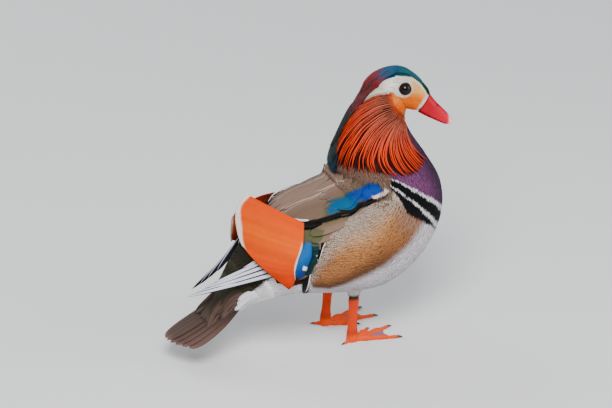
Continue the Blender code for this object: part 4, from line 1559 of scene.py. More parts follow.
    def lay(self, name: str, t: Array, angle: Array, finish: Material, rng: Random) -> None:
        """Makes one piece of the coat.

        Args:
            name: Name of the piece.
            t: Ring numbers of the feathers' roots.
            angle: Their angles.
            finish: The feathers' material.
            rng: Source of the small differences.
        """
        count = len(t)
        length = rng.uniform(*self.lengths, count) * (0.75 + 0.25 * step(0.8, 0.6, t))
        below = np.abs(angle) - flank_edges(t)[0]
        swept = step(34, 0, below) * step(0.26, 0.3, t) * step(0.59, 0.54, t)
        drift = rng.normal(0, 1.2, count) - np.sign(angle) * 5.0 * swept
        kind = FeatherKind(rings=5, thick=0.12, camber=0.06)
        high = rng.uniform(0.0, 0.1, count)
        path, normal, tt, aa = tuft_paths(body_at, t, angle, length, drift, -COAT - 0.3, high, kind.rings)
        colour = self.plumage.body(tt, aa) * rng.uniform(0.93, 1.06, (count, 1, 1))
        mesh = FeatherMesh(name)
        # Painted shade on the feathers' roots and edges.
        mesh.add(path, normal, rng.uniform(*self.widths, count), kind, shaded(colour, 0.86, 0.14, 0.03),
                 place_uv(t, angle))
        piece = mesh.build(finish)
        self.flow(piece, tt, aa, kind)
        settle(piece, "breast")

    def flow(self, piece: Piece, t: Array, angle: Array, kind: FeatherKind) -> None:
        """Stores how far along and round the body each point lies, and how strongly it is lined.

        Args:
            piece: The piece.
            t: Ring number of each cross-row of the feathers.
            angle: Its angle.
            kind: Form of the feathers.
        """
        a = np.abs(angle)
        strong = 0.22 + 0.66 * step(32, 6, a - flank_edges(t)[0]) + 0.35 * step(0.35, 0.29, t)
        strong = np.where(self.plumage.bands(a)[2] < t, 0, strong) * step(130, 118, a)
        values = stack(t * 560 + a * 1.1, a * 0.9, np.clip(strong, 0, 0.85))
        full = np.broadcast_to(values[:, :, None], (*t.shape, kind.columns, 3)).reshape(-1, 3)
        layer = piece.data.attributes.new("flow", "FLOAT_VECTOR", "POINT")
        layer.data.foreach_set("vector", full.astype(np.float32).ravel())


@dataclass
class HeadCoat:
    """The short dense feathers of the face and cheeks.

    Attributes:
        lengths: Shortest and longest feather.
        widths: Narrowest and widest feather.
        row: Distance between rows on the skull, in ring numbers.
        neck_row: Distance between rows where the neck rises over the skull.
        clear: How far from the lids' middle the first feathers stand.
    """

    plumage: Plumage
    skin: Skin
    lengths: tuple[float, float] = (2.6, 3.4)
    widths: tuple[float, float] = (0.95, 1.25)
    row: float = 0.85 / 66
    neck_row: float = 0.0042
    clear: float = 5.2
    # Brow plumes: their roots and tips, forward from the eyes, and how many.
    BROWS = ((-20, -35, 12), (-13, -28, 14), (-6, -21, 16))

    def build(self) -> None:
        """Makes the coat of the head."""
        rng = np.random.default_rng(5)
        s, angle, place = [], [], 0.02
        while place < 0.905:
            _, _, wide, crown, chin = row_at(HEAD_RINGS, place)
            count = int(math.pi * (wide + 0.5 * (crown + chin)) / 0.78)
            angle.append(ring_angles(count, len(s) % 2, rng.uniform(-0.3, 0.3, count)))
            s.append(place + rng.uniform(-0.004, 0.004, count))
            place += self.row
        s, angle = np.concatenate(s), np.concatenate(angle)
        roots = skull_at(s, angle, -COAT)
        local = to_head(roots)
        free = np.hypot(local[:, 0] - LID_MIDDLE[0], local[:, 2] - LID_MIDDLE[1]) > self.clear
        free |= np.abs(local[:, 1]) < 6
        edge = local[:, 0] < BILL_FOOT[0] + BILL_LEAN * (local[:, 2] - BILL_FOOT[1]) - 0.2
        keep = free & edge & self.skin.outside(roots)
        self.lay("face_coat", skull_at, s[keep], angle[keep], 0.15, rng)
        self.cheeks(rng)
        self.brows(rng)

    def cheeks(self, rng: Random) -> None:
        """Makes the feathers where the neck rises over the skull.

        Args:
            rng: The scene's random source.
        """
        t, angle, place = [], [], 0.80
        while place < 0.985:
            count = max(10, int(2 * math.pi * row_at(TRUNK_RINGS, place)[3] / 0.8))
            angle.append(ring_angles(count, len(t) % 2))
            t.append(place + rng.uniform(-0.003, 0.003, count))
            place += self.neck_row
        t, angle = np.concatenate(t), np.concatenate(angle)
        roots = trunk_at(t, angle, -COAT)
        local = to_head(roots)
        free = np.hypot(local[:, 0] - EYE_SPOT[0], local[:, 2] - EYE_SPOT[2]) > 7.5
        free |= np.abs(local[:, 1]) < 6
        keep = self.skin.outside(roots) & (local[:, 2] > -30) & free
        self.lay("cheek_coat", trunk_at, t[keep], angle[keep], 0.2, rng)

    def brows(self, rng: Random) -> None:
        """Makes the long white plumes that sweep from over the eyes to the sides of the nape.

        Args:
            rng: The scene's random source.
        """
        kind = FeatherKind(rings=12, thick=0.22, camber=0.1)
        path, normal, widths = [], [], []
        for side, _ in SIDES:
            for first, last, count in self.BROWS:
                share = (np.arange(count)[:, None] + 0.5) / count
                s = np.linspace(0, 1, kind.rings)[None]
                u = first + rng.uniform(-1.5, 1.5, (count, 1)) + (last - first) * s
                base, brow = (reading(u, line) for line in (self.plumage.BROW_LOW, self.plumage.CREST_TOP))
                inner = from_head(stack(u, 0, base + (brow - base) * (0.04 + 0.92 * share)))
                spot, way = self.skin.find(inner, np.broadcast_to(HEAD_TURN @ (0, side, 0), inner.shape))
                path.append(eased(spot) + way * (0.2 + 1.1 * np.minimum(1, 3 * s) + 0.2 * share)[..., None])
                normal.append(way)
                widths.append(rng.uniform(1.7, 2.3, count))
        self.add("brow_plumes", *map(np.concatenate, (path, normal, widths)), kind, rng)

    def lay(self, name: str, surface: Surface, s: Array, angle: Array, loose: float, rng: Random) -> None:
        """Makes feathers that lie along the skull or the neck.

        Args:
            name: Name of the piece.
            surface: The skull or the trunk.
            s: Ring numbers of the feathers' roots.
            angle: Their angles.
            loose: Greatest height of a tip over or under the surface.
            rng: Source of the small differences.
        """
        count = len(s)
        kind = FeatherKind(rings=3, thick=0.16, camber=0.08)
        length, drift = rng.uniform(*self.lengths, count), rng.normal(0, 2, count)
        high = rng.uniform(-loose, loose, count)
        path, normal, _, _ = tuft_paths(surface, s, angle, length, drift, -COAT, high, kind.rings)
        if surface is skull_at:
            path = self.clear_eyes(behind_bill(path, -0.2))
        self.add(name, path, normal, rng.uniform(*self.widths, count), kind, rng)

    def clear_eyes(self, path: Array) -> Array:
        """Paths bent along the lids where they would lie over an eye.

        Args:
            path: Points of each path.

        Returns:
            The bent paths.
        """
        local = to_head(path)
        for side, _ in SIDES:
            u, v = local[..., 0] - LID_MIDDLE[0], local[..., 2] - LID_MIDDLE[1]
            away = np.hypot(u, v)
            near = (away < LID_RING) & (local[..., 1] * side > 6)
            push = np.where(near, LID_RING / np.maximum(away, 0.1), 1.0)
            local[..., 0] = LID_MIDDLE[0] + u * push
            local[..., 2] = LID_MIDDLE[1] + v * push
        return from_head(local)

    def add(self, name: str, path: Array, normal: Array, width: Array, kind: FeatherKind,
            rng: Random) -> None:
        """Makes one piece from its feathers' paths, normals and widths, coloured by place.

        Args:
            name: Name of the piece.
            path: Points of each path.
            normal: Outward directions along the paths.
            width: Full width of each feather.
            kind: Form of the feathers.
            rng: The scene's random source.
        """
        colour = self.plumage.head(to_head(path)) * rng.uniform(0.94, 1.05, (len(path), 1, 1))
        mesh = FeatherMesh(name)
        # Painted shade on the feathers' roots and edges.
        mesh.add(path, normal, width, kind, shaded(colour, 0.86, 0.14, 0.04), head_uv(to_head(path[:, 0])))
        settle(mesh.build(PlumageFinish(f"{name}_feathers", barbs=0.05, spread=0.08).make()), "head")


@dataclass
class Ruff:
    """The orange hackles that fan from the cheeks over the neck.

    Attributes:
        tiers: Start and end between cheek and tips, hackles on a side, lift, width and brightness, which is
            below 1 where the lower tiers are darkened as painted shade.
        rings: Rings of a hackle.
    """

    skin: Skin
    tiers: Line = (
        (0.36, 0.98, 44, 0.3, 2.9, 0.3), (0.1, 0.96, 44, 0.8, 2.6, 0.45), (0.0, 0.62, 40, 1.2, 2.2, 0.4),
        (0.06, 1.0, 34, 1.6, 1.45, 0.9), (0.02, 0.93, 28, 2.3, 1.35, 1.0), (0.0, 0.7, 28, 2.7, 1.0, 1.0),
        (0.0, 0.44, 32, 2.9, 0.75, 1.0),
    )
    rings: int = 18

    def guide(self, side: int, k: Array, s: Array) -> tuple[Array, Array]:
        """Places on the ruff.

        Args:
            side: -1 on the right, 1 on the left.
            k: Places from the ruff's rear edge, 0, to its front one, 1.
            s: Places from the cheek, 0, to the tips, 1.

        Returns:
            Headings round the neck in degrees, and heights.
        """
        guides, last = RUFF_GUIDES.shape[0], RUFF_GUIDES.shape[1] - 1
        knots = rows_at(RUFF_GUIDES.reshape(guides, -1), k).reshape(*np.shape(k), last + 1, 2)
        place = np.clip(s, 0, 1) * last
        i = np.minimum(place.astype(int), last - 1)
        around = [np.clip(i + shift, 0, last)[..., None, None] for shift in (-1, 0, 1, 2)]
        ends = [np.take_along_axis(knots, j, -2)[..., 0, :] for j in around]
        heading, height = np.moveaxis(cubic(*ends, (place - i)[..., None]), -1, 0)
        if side > 0:
            near = (1 - k) ** 1.5
            rear, front = (np.interp(s, np.linspace(0, 1, last + 1), row) for row in RUFF_TURN)
            heading = heading - rear * near - front * (1 - near)
        return heading, height

    def build(self) -> None:
        """Makes both sides of the ruff."""
        mesh = FeatherMesh("ruff_hackles")
        rng = np.random.default_rng(3)
        for side, _ in SIDES:
            for tier in self.tiers:
                self.tier(mesh, side, tier, rng)
        settle(mesh.build(PlumageFinish("ruff_hackles", barbs=0.16, rough=0.5, gloss=0.16).make()), "ruff")

    def tier(self, mesh: FeatherMesh, side: int, tier: Sequence[float], rng: Random) -> None:
        """Adds one tier of hackles on one side.

        Args:
            mesh: Mesh that takes the feathers.
            side: 1 for the left side, -1 for the right one.
            tier: A row of the table of tiers.
            rng: The scene's random source.
        """
        first, last, count, lift, width, painted_light = tier
        k = (np.arange(count) + 0.5 + rng.uniform(-0.3, 0.3, count)) / count
        end = last - rng.uniform(0, 0.06, count)
        along = np.linspace(0, 1, self.rings)[None]
        s = first + (end - first)[:, None] * along
        sway = rng.uniform(-0.022, 0.022, (count, 1)) * np.maximum(s - 0.45, 0) / 0.55
        heading, height = self.guide(side, np.clip(k[:, None] + sway, 0, 1), s)
        way = np.radians(side * heading)
        spot, normal = self.skin.find(stack(NECK_AXIS_X, 0, height), stack(np.cos(way), np.sin(way), 0))
        rise = 0.1 + (lift + 0.6) * np.minimum(1, 4 * along) + 1.6 * along**2 * s
        rise = rise + rng.uniform(-0.2, 0.5, (count, 1)) * along
        kind = FeatherKind(5, self.rings, thick=0.6, camber=0.24, root=0.5, widest=0.6, point=2.4)
        # Painted shade: the lower tiers are darkened all over, with small random differences.
        dark = painted_light * rng.uniform(0.84, 1.1, (count, 1, 1))

        def tint(share: Array, x: Array) -> Array:
            """Edges darkened as painted shade between the hackles, and a pale shaft, over flesh that
            brightens towards the tip; the lower tiers are darker as painted shade.

            Args:
                share: Shares of the length, from root to tip.
                x: Places across the vane, from -1 to 1.

            Returns:
                A linear colour for each place.
            """
            reach, away = first + (last - first) * share, np.abs(x)
            flesh = blend(tone(150, 52, 28), tone(218, 66, 14), step(0.05, 0.6, reach))
            # Painted shade: the lower tiers' flesh turns dark maroon.
            flesh = blend(tone(88, 24, 14), flesh, step(0.4, 1.0, painted_light))
            shaft = blend(tone(236, 172, 146), tone(255, 134, 66), step(0.2, 0.75, reach))
            # Painted shade: each hackle's edges go dark where it meets its neighbours.
            edge = blend(tone(60, 16, 14), tone(90, 14, 8), step(0.3, 0.9, reach))
            # The pale shaft shows only on the tiers without painted shade.
            core = step(0.5, 0.05, away) * (0.9 - 0.45 * share) * step(0.5, 0.9, painted_light)
            return blend(blend(flesh, shaft, core), edge, step(0.5, 1.0, away)) * dark[..., None]

        path = eased(spot) + normal * rise[..., None]
        mesh.add(path, normal, width * rng.uniform(0.9, 1.1, count), kind, tint,
                 place_uv(0.66 + 0.2 * (1 - k), side * (40 + 110 * (1 - k))), roll=6 * side)


@dataclass
class Crest:
    """The long feathers from the forehead over the crown and down the nape.

    Attributes:
        rings: Rings of a feather.
        tilts: Directions over the head that the crest's line passes, in degrees from straight ahead.
        fall: Ring numbers and angles that it passes on the nape, which follow the head's turn.
        tiers: Start and end on that line, feathers, half the tier's width, lift and feather width.
        narrow: The crest's width at places along the line.
    """

    skin: Skin
    plumage: Plumage
    rings: int = 14
    tilts: tuple[float, ...] = (28, 62, 96, 128)
    fall: Line = (
        (0.925, 40), (0.863, 27), (0.831, 28), (0.788, 29), (0.746, 22), (0.699, 7), (0.654, -6),
        (0.614, -13),
    )
    tiers: Line = (
        (0.72, 1.0, 26, 10, 1.6, 2.4), (0.6, 0.98, 28, 10.5, 2.8, 2.4), (0.5, 0.92, 30, 11, 3.6, 2.2),
        (0.4, 0.8, 32, 11.5, 3.9, 2.1), (0.31, 0.68, 34, 12, 3.0, 2.0), (0.23, 0.55, 34, 12, 2.1, 1.8),
        (0.16, 0.43, 34, 11.5, 1.4, 1.7), (0.09, 0.32, 32, 11, 1.0, 1.5), (0.03, 0.22, 30, 11, 0.7, 1.3),
        (0.0, 0.13, 26, 10, 0.4, 1.1),
    )
    narrow: tuple[float, ...] = (0.3, 0.38, 0.62, 0.88, 1.08, 1.15, 1.1, 1.05, 0.95, 0.85, 0.75, 0.6)

    def lines(self) -> Array:
        """Inner points and outward directions along the crest.

        Returns:
            The points and the directions.
        """
        hub = from_head((-8, 0, -6))
        rows = []
        for a in map(math.radians, self.tilts):
            rows.append((*hub, *(HEAD_TURN @ (math.cos(a), 0, math.sin(a)))))
        for t, angle in self.fall:
            ring = row_at(TRUNK_RINGS, t)
            inner = np.array([ring[0], 0, ring[1]])
            rows.append((*inner, *unit(trunk_at(np.array(t), angle) - inner)))
        return np.array(rows)

    def build(self) -> None:
        """Makes the crest in overlapping tiers."""
        rng = np.random.default_rng(8)
        mesh = FeatherMesh("crest_feathers")
        for first, last, count, spread, lift, width in self.tiers:
            across = spread * (2 * (np.arange(count) + rng.uniform(0.2, 0.8, count)) / count - 1)
            start = first + rng.uniform(-0.03, 0.03, count)
            end = last - 0.05 * (across / spread) ** 2 + rng.uniform(-0.03, 0.02, count)
            self.tier(mesh, across, start, end, lift, width, rng)
        settle(mesh.build(PlumageFinish("crest_plumes", barbs=0.2, rough=0.42, gloss=0.25).make()), "head")

    def tier(self, mesh: FeatherMesh, across: Array, start: Array, end: Array, lift: float, width: float,
             rng: Random) -> None:
        """Adds one tier.

        Args:
            mesh: The crest's mesh.
            across: How far to the left of the crest's line each feather lies.
            start: Place of its root on the line.
            end: Place of its tip.
            lift: Height of the tier over the skin.
            width: Width of a feather.
            rng: Source of the small differences.
        """
        count = len(across)
        along = np.linspace(0, 1, self.rings)[None]
        s = np.clip(start[:, None] + (end - start)[:, None] * along, 0, 1)
        inner, out = np.split(rows_at(self.lines(), s), 2, -1)
        middle, _ = self.skin.find(inner, out)
        left = unit(np.cross(np.gradient(middle, axis=1), out))
        narrow = np.interp(s, np.linspace(0, 1, len(self.narrow)), self.narrow)
        spot, normal = self.skin.find(inner + left * (across[:, None] * narrow)[..., None], out)
        rise = 0.4 + (lift + 0.5) * np.minimum(1, 4 * along) + rng.uniform(-0.2, 0.3, (count, 1)) * along
        path = eased(spot) + normal * rise[..., None]
        local = to_head(path)
        colour = self.plumage.crest(local[..., 0], np.abs(local[..., 1]), local[..., 2])
        colour = colour * rng.uniform(0.75, 1.15, (count, 1, 1))
        kind = FeatherKind(rings=self.rings, thick=0.45, camber=0.2, root=0.5, widest=0.4)
        # Painted shade on the feathers' edges and a painted highlight along their shafts.
        mesh.add(path, normal, width * rng.uniform(0.85, 1.15, count), kind,
                 shaded(colour, 0.72, shaft=0.4), head_uv(local[:, 0]))


@dataclass
class Wing:
    """A folded wing: its core, the covering feathers and the long flight feathers.

    Attributes:
        side: -1 for the right wing, 1 for the left.
        word: The side in words.
        tiers: Scapulars: ring numbers of roots and tips, angle of the first and lift.
        edge: Coverts: ring number and angle of root and of tip, lift and width.
    """

    plumage: Plumage
    side: int
    word: str
    tiers: Line = (
        (0.46, 0.262, 4, 0.5), (0.53, 0.335, 7, 0.9), (0.568, 0.42, 4, 1.1),
    )
    edge: Line = (
        (0.56, 44, 0.36, 37, 1.0, 14), (0.575, 51, 0.4, 40, 1.1, 13), (0.6, 56, 0.48, 46, 1.3, 12),
        (0.61, 65, 0.52, 55, 1.1, 11), (0.41, 44, 0.29, 50, 0.3, 15), (0.39, 48, 0.288, 57, 0.3, 15),
        (0.36, 51, 0.28, 63, 0.4, 15), (0.34, 54, 0.27, 68, 0.4, 13), (0.318, 61, 0.258, 75, 0.5, 12),
        (0.3, 70, 0.244, 81, 0.5, 11), (0.29, 79, 0.236, 88, 0.5, 10),
    )
    # Long narrow feathers: places by ring number and angle, lift, width and colour.
    STREAKS = (
        (((0.572, 71), (0.505, 54.5), (0.455, 46.5), (0.4, 43), (0.345, 42.5), (0.296, 41)),
         2.3, 4.2, (14, 13, 16)),
        (((0.32, 43), (0.3, 42), (0.281, 36), (0.268, 26), (0.26, 20)), 1.7, 8.0, (14, 13, 16)),
        (((0.302, 37), (0.292, 35), (0.28, 29), (0.268, 20)), 1.9, 2.4, (236, 232, 234)),
    )
    # Long flight feathers: ring number and angle of the root, and the tip on the left side.
    PRIMARIES = (
        (0.233, 36, (-100, 29, 96)), (0.235, 43, (-112, 24, 90)), (0.238, 51, (-130, 19, 82)),
        (0.241, 59, (-140, 17, 77)), (0.244, 67, (-148, 16, 73)), (0.247, 75, (-156, 15, 70)),
    )

    def build(self) -> None:
        """Makes the wing's pieces."""
        node = f"wing_{self.word}"
        finish = PlumageFinish(f"{node}_feathers", barbs=0.16, rough=0.55).make()
        settle(self.core(finish), "wing", node)
        settle(self.covers(finish), "wing")
        settle(self.small_feathers(finish), "wing")
        settle(self.primaries(finish), "wing")

    def core(self, finish: Material) -> Piece:
        """The wing's body under its feathers.

        Args:
            finish: Material of the piece.

        Returns:
            The body.
        """
        t, v = grid(np.linspace(0.208, 0.598, 120), np.linspace(0, 1, 40))
        upper, lower, _ = wing_edges(t)
        upper = np.where(t < 0.5, 1.0, upper)
        angle = (upper + (lower - upper) * v) * self.side
        rings = shell(wing_at(t, angle, -0.5), trunk_at(t, angle, 0.4))
        piece = tube_mesh(f"wing_core_{self.word}", rings, finish)
        tt, aa = shell(t, t).ravel(), shell(angle, angle).ravel()
        # Painted shade: the core takes the wing's colours at 85 per cent, where it shows between the
        # feathers.
        paint(piece, self.plumage.wing(tt, aa) * 0.85)
        unwrap(piece, place_uv(tt, aa))
        unwrap(piece, stack(aa * 0.02, tt * 40), "Vane")
        return piece

    def vane(self, mesh: FeatherMesh, row: Sequence[float], kind: FeatherKind) -> None:
        """Adds one covering feather, coloured by its place on the wing.

        Args:
            mesh: Mesh that takes the feathers.
            row: Ring number and angle of root and tip, height and full width.
            kind: Form of the feathers.
        """
        t0, a0, t1, a1, stand, width = row
        s = np.linspace(0, 1, kind.rings)
        t, angle = t0 + (t1 - t0) * s, self.side * (a0 + (a1 - a0) * s)
        lift = -2.6 + (stand + 2.6) * np.minimum(1, 2.6 * s) ** 0.7
        radius = np.interp(t, [0.2, 0.3, 0.45, 0.6], [38, 48, 56, 52])
        half_angle = np.degrees(width / 2 / radius)[None, :, None]
        seed = 0.94 + 0.1 * math.sin(37.0 * (t0 + a0))

        def tint(share: Array, x: Array) -> Array:
            """The wing's colour where each point lies, with pale edges.

            Args:
                share: Shares of the length, from root to tip.
                x: Places across the vane, from -1 to 1.

            Returns:
                A linear colour for each place.
            """
            aa = np.abs(angle)[None, :, None] + self.side * x * half_angle
            base = self.plumage.wing(*np.broadcast_arrays(t[None, :, None], aa))
            away = np.abs(x)
            glow = 1 + 0.10 * step(0.72, 1.0, away) - 0.10 * step(0.5, 0.9, share) * (1 - away)
            return base * seed * glow[..., None]

        mesh.add(wing_at(t, angle, lift)[None], outward(trunk_at, t, angle)[None], width, kind,
                 tint, place_uv(t[:1], angle[:1]), roll=1.4 * self.side)

    def covers(self, finish: Material) -> Piece:
        """The long scapulars, the wing's lower coverts, and the black and white feathers among them.

        Args:
            finish: Material of the piece.

        Returns:
            The piece.
        """
        mesh = FeatherMesh(f"scapulars_{self.word}")
        kind = FeatherKind(columns=15, rings=30, thick=0.24, camber=0.09, root=0.75, widest=0.4, point=4.5)
        for first, last, shift, stand in self.tiers:
            for i, angle in enumerate(np.arange(shift, 41, 7.0)):
                reach = 0.012 * (i % 2)
                self.vane(mesh, (first + reach, angle + 1, last + reach, angle * 0.86 + 1, stand, 15), kind)
        for row in self.edge:
            self.vane(mesh, row, kind)
        slim = FeatherKind(columns=5, rings=36, thick=0.5, camber=0.1, root=0.5, widest=0.3, point=3.0)
        for streak in self.STREAKS:
            self.streak(mesh, streak, slim)
        return mesh.build(finish)

    def streak(self, mesh: FeatherMesh, streak: Sequence, kind: FeatherKind) -> None:
        """Adds one long feather of one colour through places on the wing.

        Args:
            mesh: Mesh that takes the feathers.
            streak: Its places, height, full width and colour.
            kind: Form of the feathers.
        """
        points, stand, width, colour = streak
        s = np.linspace(0, 1, kind.rings)
        t, angle = rows_at(points, s).T * ((1,), (self.side,))
        lift = -1.0 + (stand + 1.0) * np.minimum(1, 5 * s)
        mesh.add(wing_at(t, angle, lift)[None], outward(trunk_at, t, angle)[None], width, kind,
                 shaded(tone(*colour)[None, None]), place_uv(t[:1], angle[:1]), roll=2.0 * self.side)

    def small_feathers(self, finish: Material) -> Piece:
        """Small feathers over the shoulder, above the roots of the long ones.

        Args:
            finish: Material of the piece.

        Returns:
            The piece.
        """
        rng = np.random.default_rng(21)
        t, angle = scatter(0.5, 0.622, 2.0, 2.4, rng)
        upper, lower, _ = wing_edges(t)
        a = angle * self.side
        keep = (t > 0.545) & (a > 0.5) & (a > upper - 3) & (a < lower + 2)
        t, angle = t[keep], angle[keep]
        count = len(t)
        kind = FeatherKind(rings=6, thick=0.12, camber=0.08)
        high = rng.uniform(1.2, 1.4, count) * (1 - 0.85 * step(0.575, 0.615, t))
        length, drift = rng.uniform(8, 11, count), rng.normal(0, 0.8, count)
        path, _, tt, aa = tuft_paths(wing_at, t, angle, length, drift, -1.2, high, kind.rings)
        colour = self.plumage.wing(tt, aa) * rng.uniform(0.94, 1.05, (count, 1, 1))
        mesh = FeatherMesh(f"wing_coverts_{self.word}")
        # Painted shade on the feathers' roots and edges.
        mesh.add(path, outward(trunk_at, tt, aa), rng.uniform(2.4, 3.0, count), kind,
                 shaded(colour, 0.84, 0.16, 0.05), place_uv(t, angle))
        return mesh.build(finish)

    def primaries(self, finish: Material) -> Piece:
        """The tips of the long flight feathers, white-edged and black.

        Args:
            finish: Material of the piece.

        Returns:
            The piece.
        """
        mesh = FeatherMesh(f"primaries_{self.word}")
        kind = FeatherKind(columns=9, rings=24, thick=0.6, camber=0.16, root=0.9, widest=0.2, point=3.0)
        right = self.side < 0
        # The left wing's tips lie elsewhere and turn their dark vanes up.
        shift, lean, width = (0, 0, 0), (0, -0.5, 0.5), 4.9
        if not right:
            shift, lean, width = (15, -3, -6), (0, -1.0, 1.2), 7.0
        s = np.linspace(0, 1, kind.rings)[:, None]

        def tint(share: Array, x: Array) -> Array:
            """White with black edges on the right wing, and black with a white edge on the left."""
            edge = step(0.7, 0.5, np.abs(x)) if right else step(0.5, 0.7, x) * 0.8
            return blend(tone(20, 19, 30), tone(226, 226, 236), edge * np.ones_like(share))

        for t, angle, tip in self.PRIMARIES:
            angle = np.array(self.side * angle)
            root = wing_at(np.array(t), angle, -1.2)
            path = (root + (np.array(tip) * (1, self.side, 1) + shift - root) * s)[None]
            up = unit(outward(wing_at, np.array(t), angle) + np.array(lean))
            mesh.add(path, np.broadcast_to(up, path.shape), width, kind, tint,
                     place_uv(np.array([t]), angle[None]), roll=10 * self.side)
        return mesh.build(finish)


@dataclass
class Sail:
    """The wide orange web of the innermost long feather, with its blue outer web.

    Attributes:
        side: -1 for the right sail, 1 for the left.
        word: The side in words.
        shaft: Places of the shaft from the web's top: ring number, angle and height over the trunk.
        rim: Points of the right web's rim, with the left as the positive side.
        thick: Thickness at the shaft.
    """

    side: int
    word: str
    shaft: Line = ((0.29, 38, 10.0), (0.272, 56, 10.4), (0.247, 72, 9.6), (0.238, 86, 7.6))
    rim: Line = (
        (-99, -19, 166), (-108, -17, 152), (-108, -17, 132), (-103, -22, 113), (-91, -42, 98), (-71, -54, 80),
    )
    thick: float = 0.7
    # How far the left rim's top lies from where the right one's would, mirrored.
    LEAN = (8, -7, -27)

    def at(self, u: Array, v: Array, lift: Array = 0.0) -> Array:
        """Points of the web from the shaft (u 0) to the rim (1) and from its top (v 0) to its foot (1).

        Args:
            u: Places across.
            v: Places down.
            lift: Distance off the web.

        Returns:
            Points in the bird's axes.
        """
        row = rows_at(self.shaft, v)
        root = trunk_at(row[..., 0], self.side * row[..., 1], row[..., 2])
        rim = rows_at(self.rim, v) * (1, -self.side, 1)
        if self.side > 0:
            rim = rim + np.array(self.LEAN) * (1 - v)[..., None]
        out = unit(np.array([-0.1, self.side, 0.1]))
        ripple = 0.25 * np.sin(v * 46 + 3 * u) * u + 0.5 * np.sin(v * 11 + 1.0) * u**2
        bulge = 4.0 * np.sin(math.pi * u) * (1 - 0.3 * v) + ripple + lift
        return root + (rim - root) * u[..., None] + out * bulge[..., None]

    def build(self) -> None:
        """Makes the web, its shaft and the outer web."""
        settle(self.web(), "sail", f"sail_{self.word}")
        settle(self.outer(), "sail")

    def web(self) -> Piece:
        """The orange inner web with its white rim and black border.

        Returns:
            The web.
        """
        u, v = grid(np.linspace(0, 1, 60), np.linspace(0, 1, 70))
        half = self.thick / 2 * (1 - 0.6 * u)
        rings = shell(self.at(u, v, half), self.at(u, v, -half))
        uu, vv = shell(u, u).ravel(), shell(v, v).ravel()
        orange = blend(tone(232, 108, 6), tone(196, 68, 4), step(0.45, 1.0, vv) * 0.9) * 0.88
        orange = coated(
            orange,
            # Painted highlight: a paler orange streak across the web, a little above its middle.
            ((240, 130, 30), step(0.16, 0.0, np.abs(vv - 0.40 + 0.05 * uu)) * 0.4),
            ((214, 88, 4), step(0.25, 0.0, vv) * 0.6),
        )
        orange = blend(orange, orange * 0.86, (0.5 + 0.5 * np.sin(vv * 60 + 2.0 * np.sin(vv * 17))) * 0.6)
        white_start = 0.925 + 0.02 * np.sin(vv * 13)
        orange = coated(
            orange,
            ((238, 226, 218), step(0, 0.02, uu - white_start) * step(0.62, 0.56, vv)),
            ((16, 13, 16), step(0.965, 0.98, uu) * step(0.56, 0.6, vv)),
            ((250, 226, 206), step(0.028, 0.012, uu) * step(0.25, 0.4, vv)),
        )
        sheet = PlumageFinish(f"sail_web_{self.word}", barbs=0.12, rough=0.5, gloss=0.03).make()
        piece = tube_mesh(f"sail_web_{self.word}", rings, sheet)
        paint(piece, orange)
        unwrap(piece, stack(0.05 + 0.4 * uu + 0.5 * (self.side > 0), 0.02 + 0.55 * vv))
        unwrap(piece, stack(0.5 + 0.2 * uu, vv * 6.5 + 0.4 * uu), "Vane")
        return piece

    def outer(self) -> Piece:
        """The narrow blue web on the shaft's far side, with its white patch.

        Returns:
            The web.
        """
        mesh = FeatherMesh(f"sail_outer_web_{self.word}")
        kind = FeatherKind(columns=11, rings=26, thick=0.6, camber=0.1, root=0.5, widest=0.3, point=4.0)
        v = np.linspace(0.34, 0.99, kind.rings)
        t, angle, high = rows_at(self.shaft, v).T
        angle = self.side * angle
        shift = np.interp(v, [0.34, 0.6, 0.99], [5.0, 6.0, 3.0])

        def tint(share: Array, x: Array) -> Array:
            """Blue with a white patch and a black outer edge.

            Args:
                share: Shares of the length, from root to tip.
                x: Places across the vane, from -1 to 1.

            Returns:
                A linear colour for each place.
            """
            out = x * self.side
            patch = (np.abs(share - 0.62) < 0.06) * (out > 0.25)
            blue = blend(tone(6, 104, 164), tone(12, 58, 118), step(0.3, 0.9, share + 0.2 * out))
            return coated(blue, ((238, 232, 232), patch), ((14, 14, 18), step(0.75, 0.95, out)))

        mesh.add(trunk_at(t + shift * 0.0022, angle, high - 0.4)[None], outward(trunk_at, t, angle)[None],
                 13.0, kind, tint, place_uv(t[:1], angle[:1]))
        return mesh.build(PlumageFinish(f"sail_outer_{self.word}", barbs=0.2, rough=0.42, gloss=0.14).make())


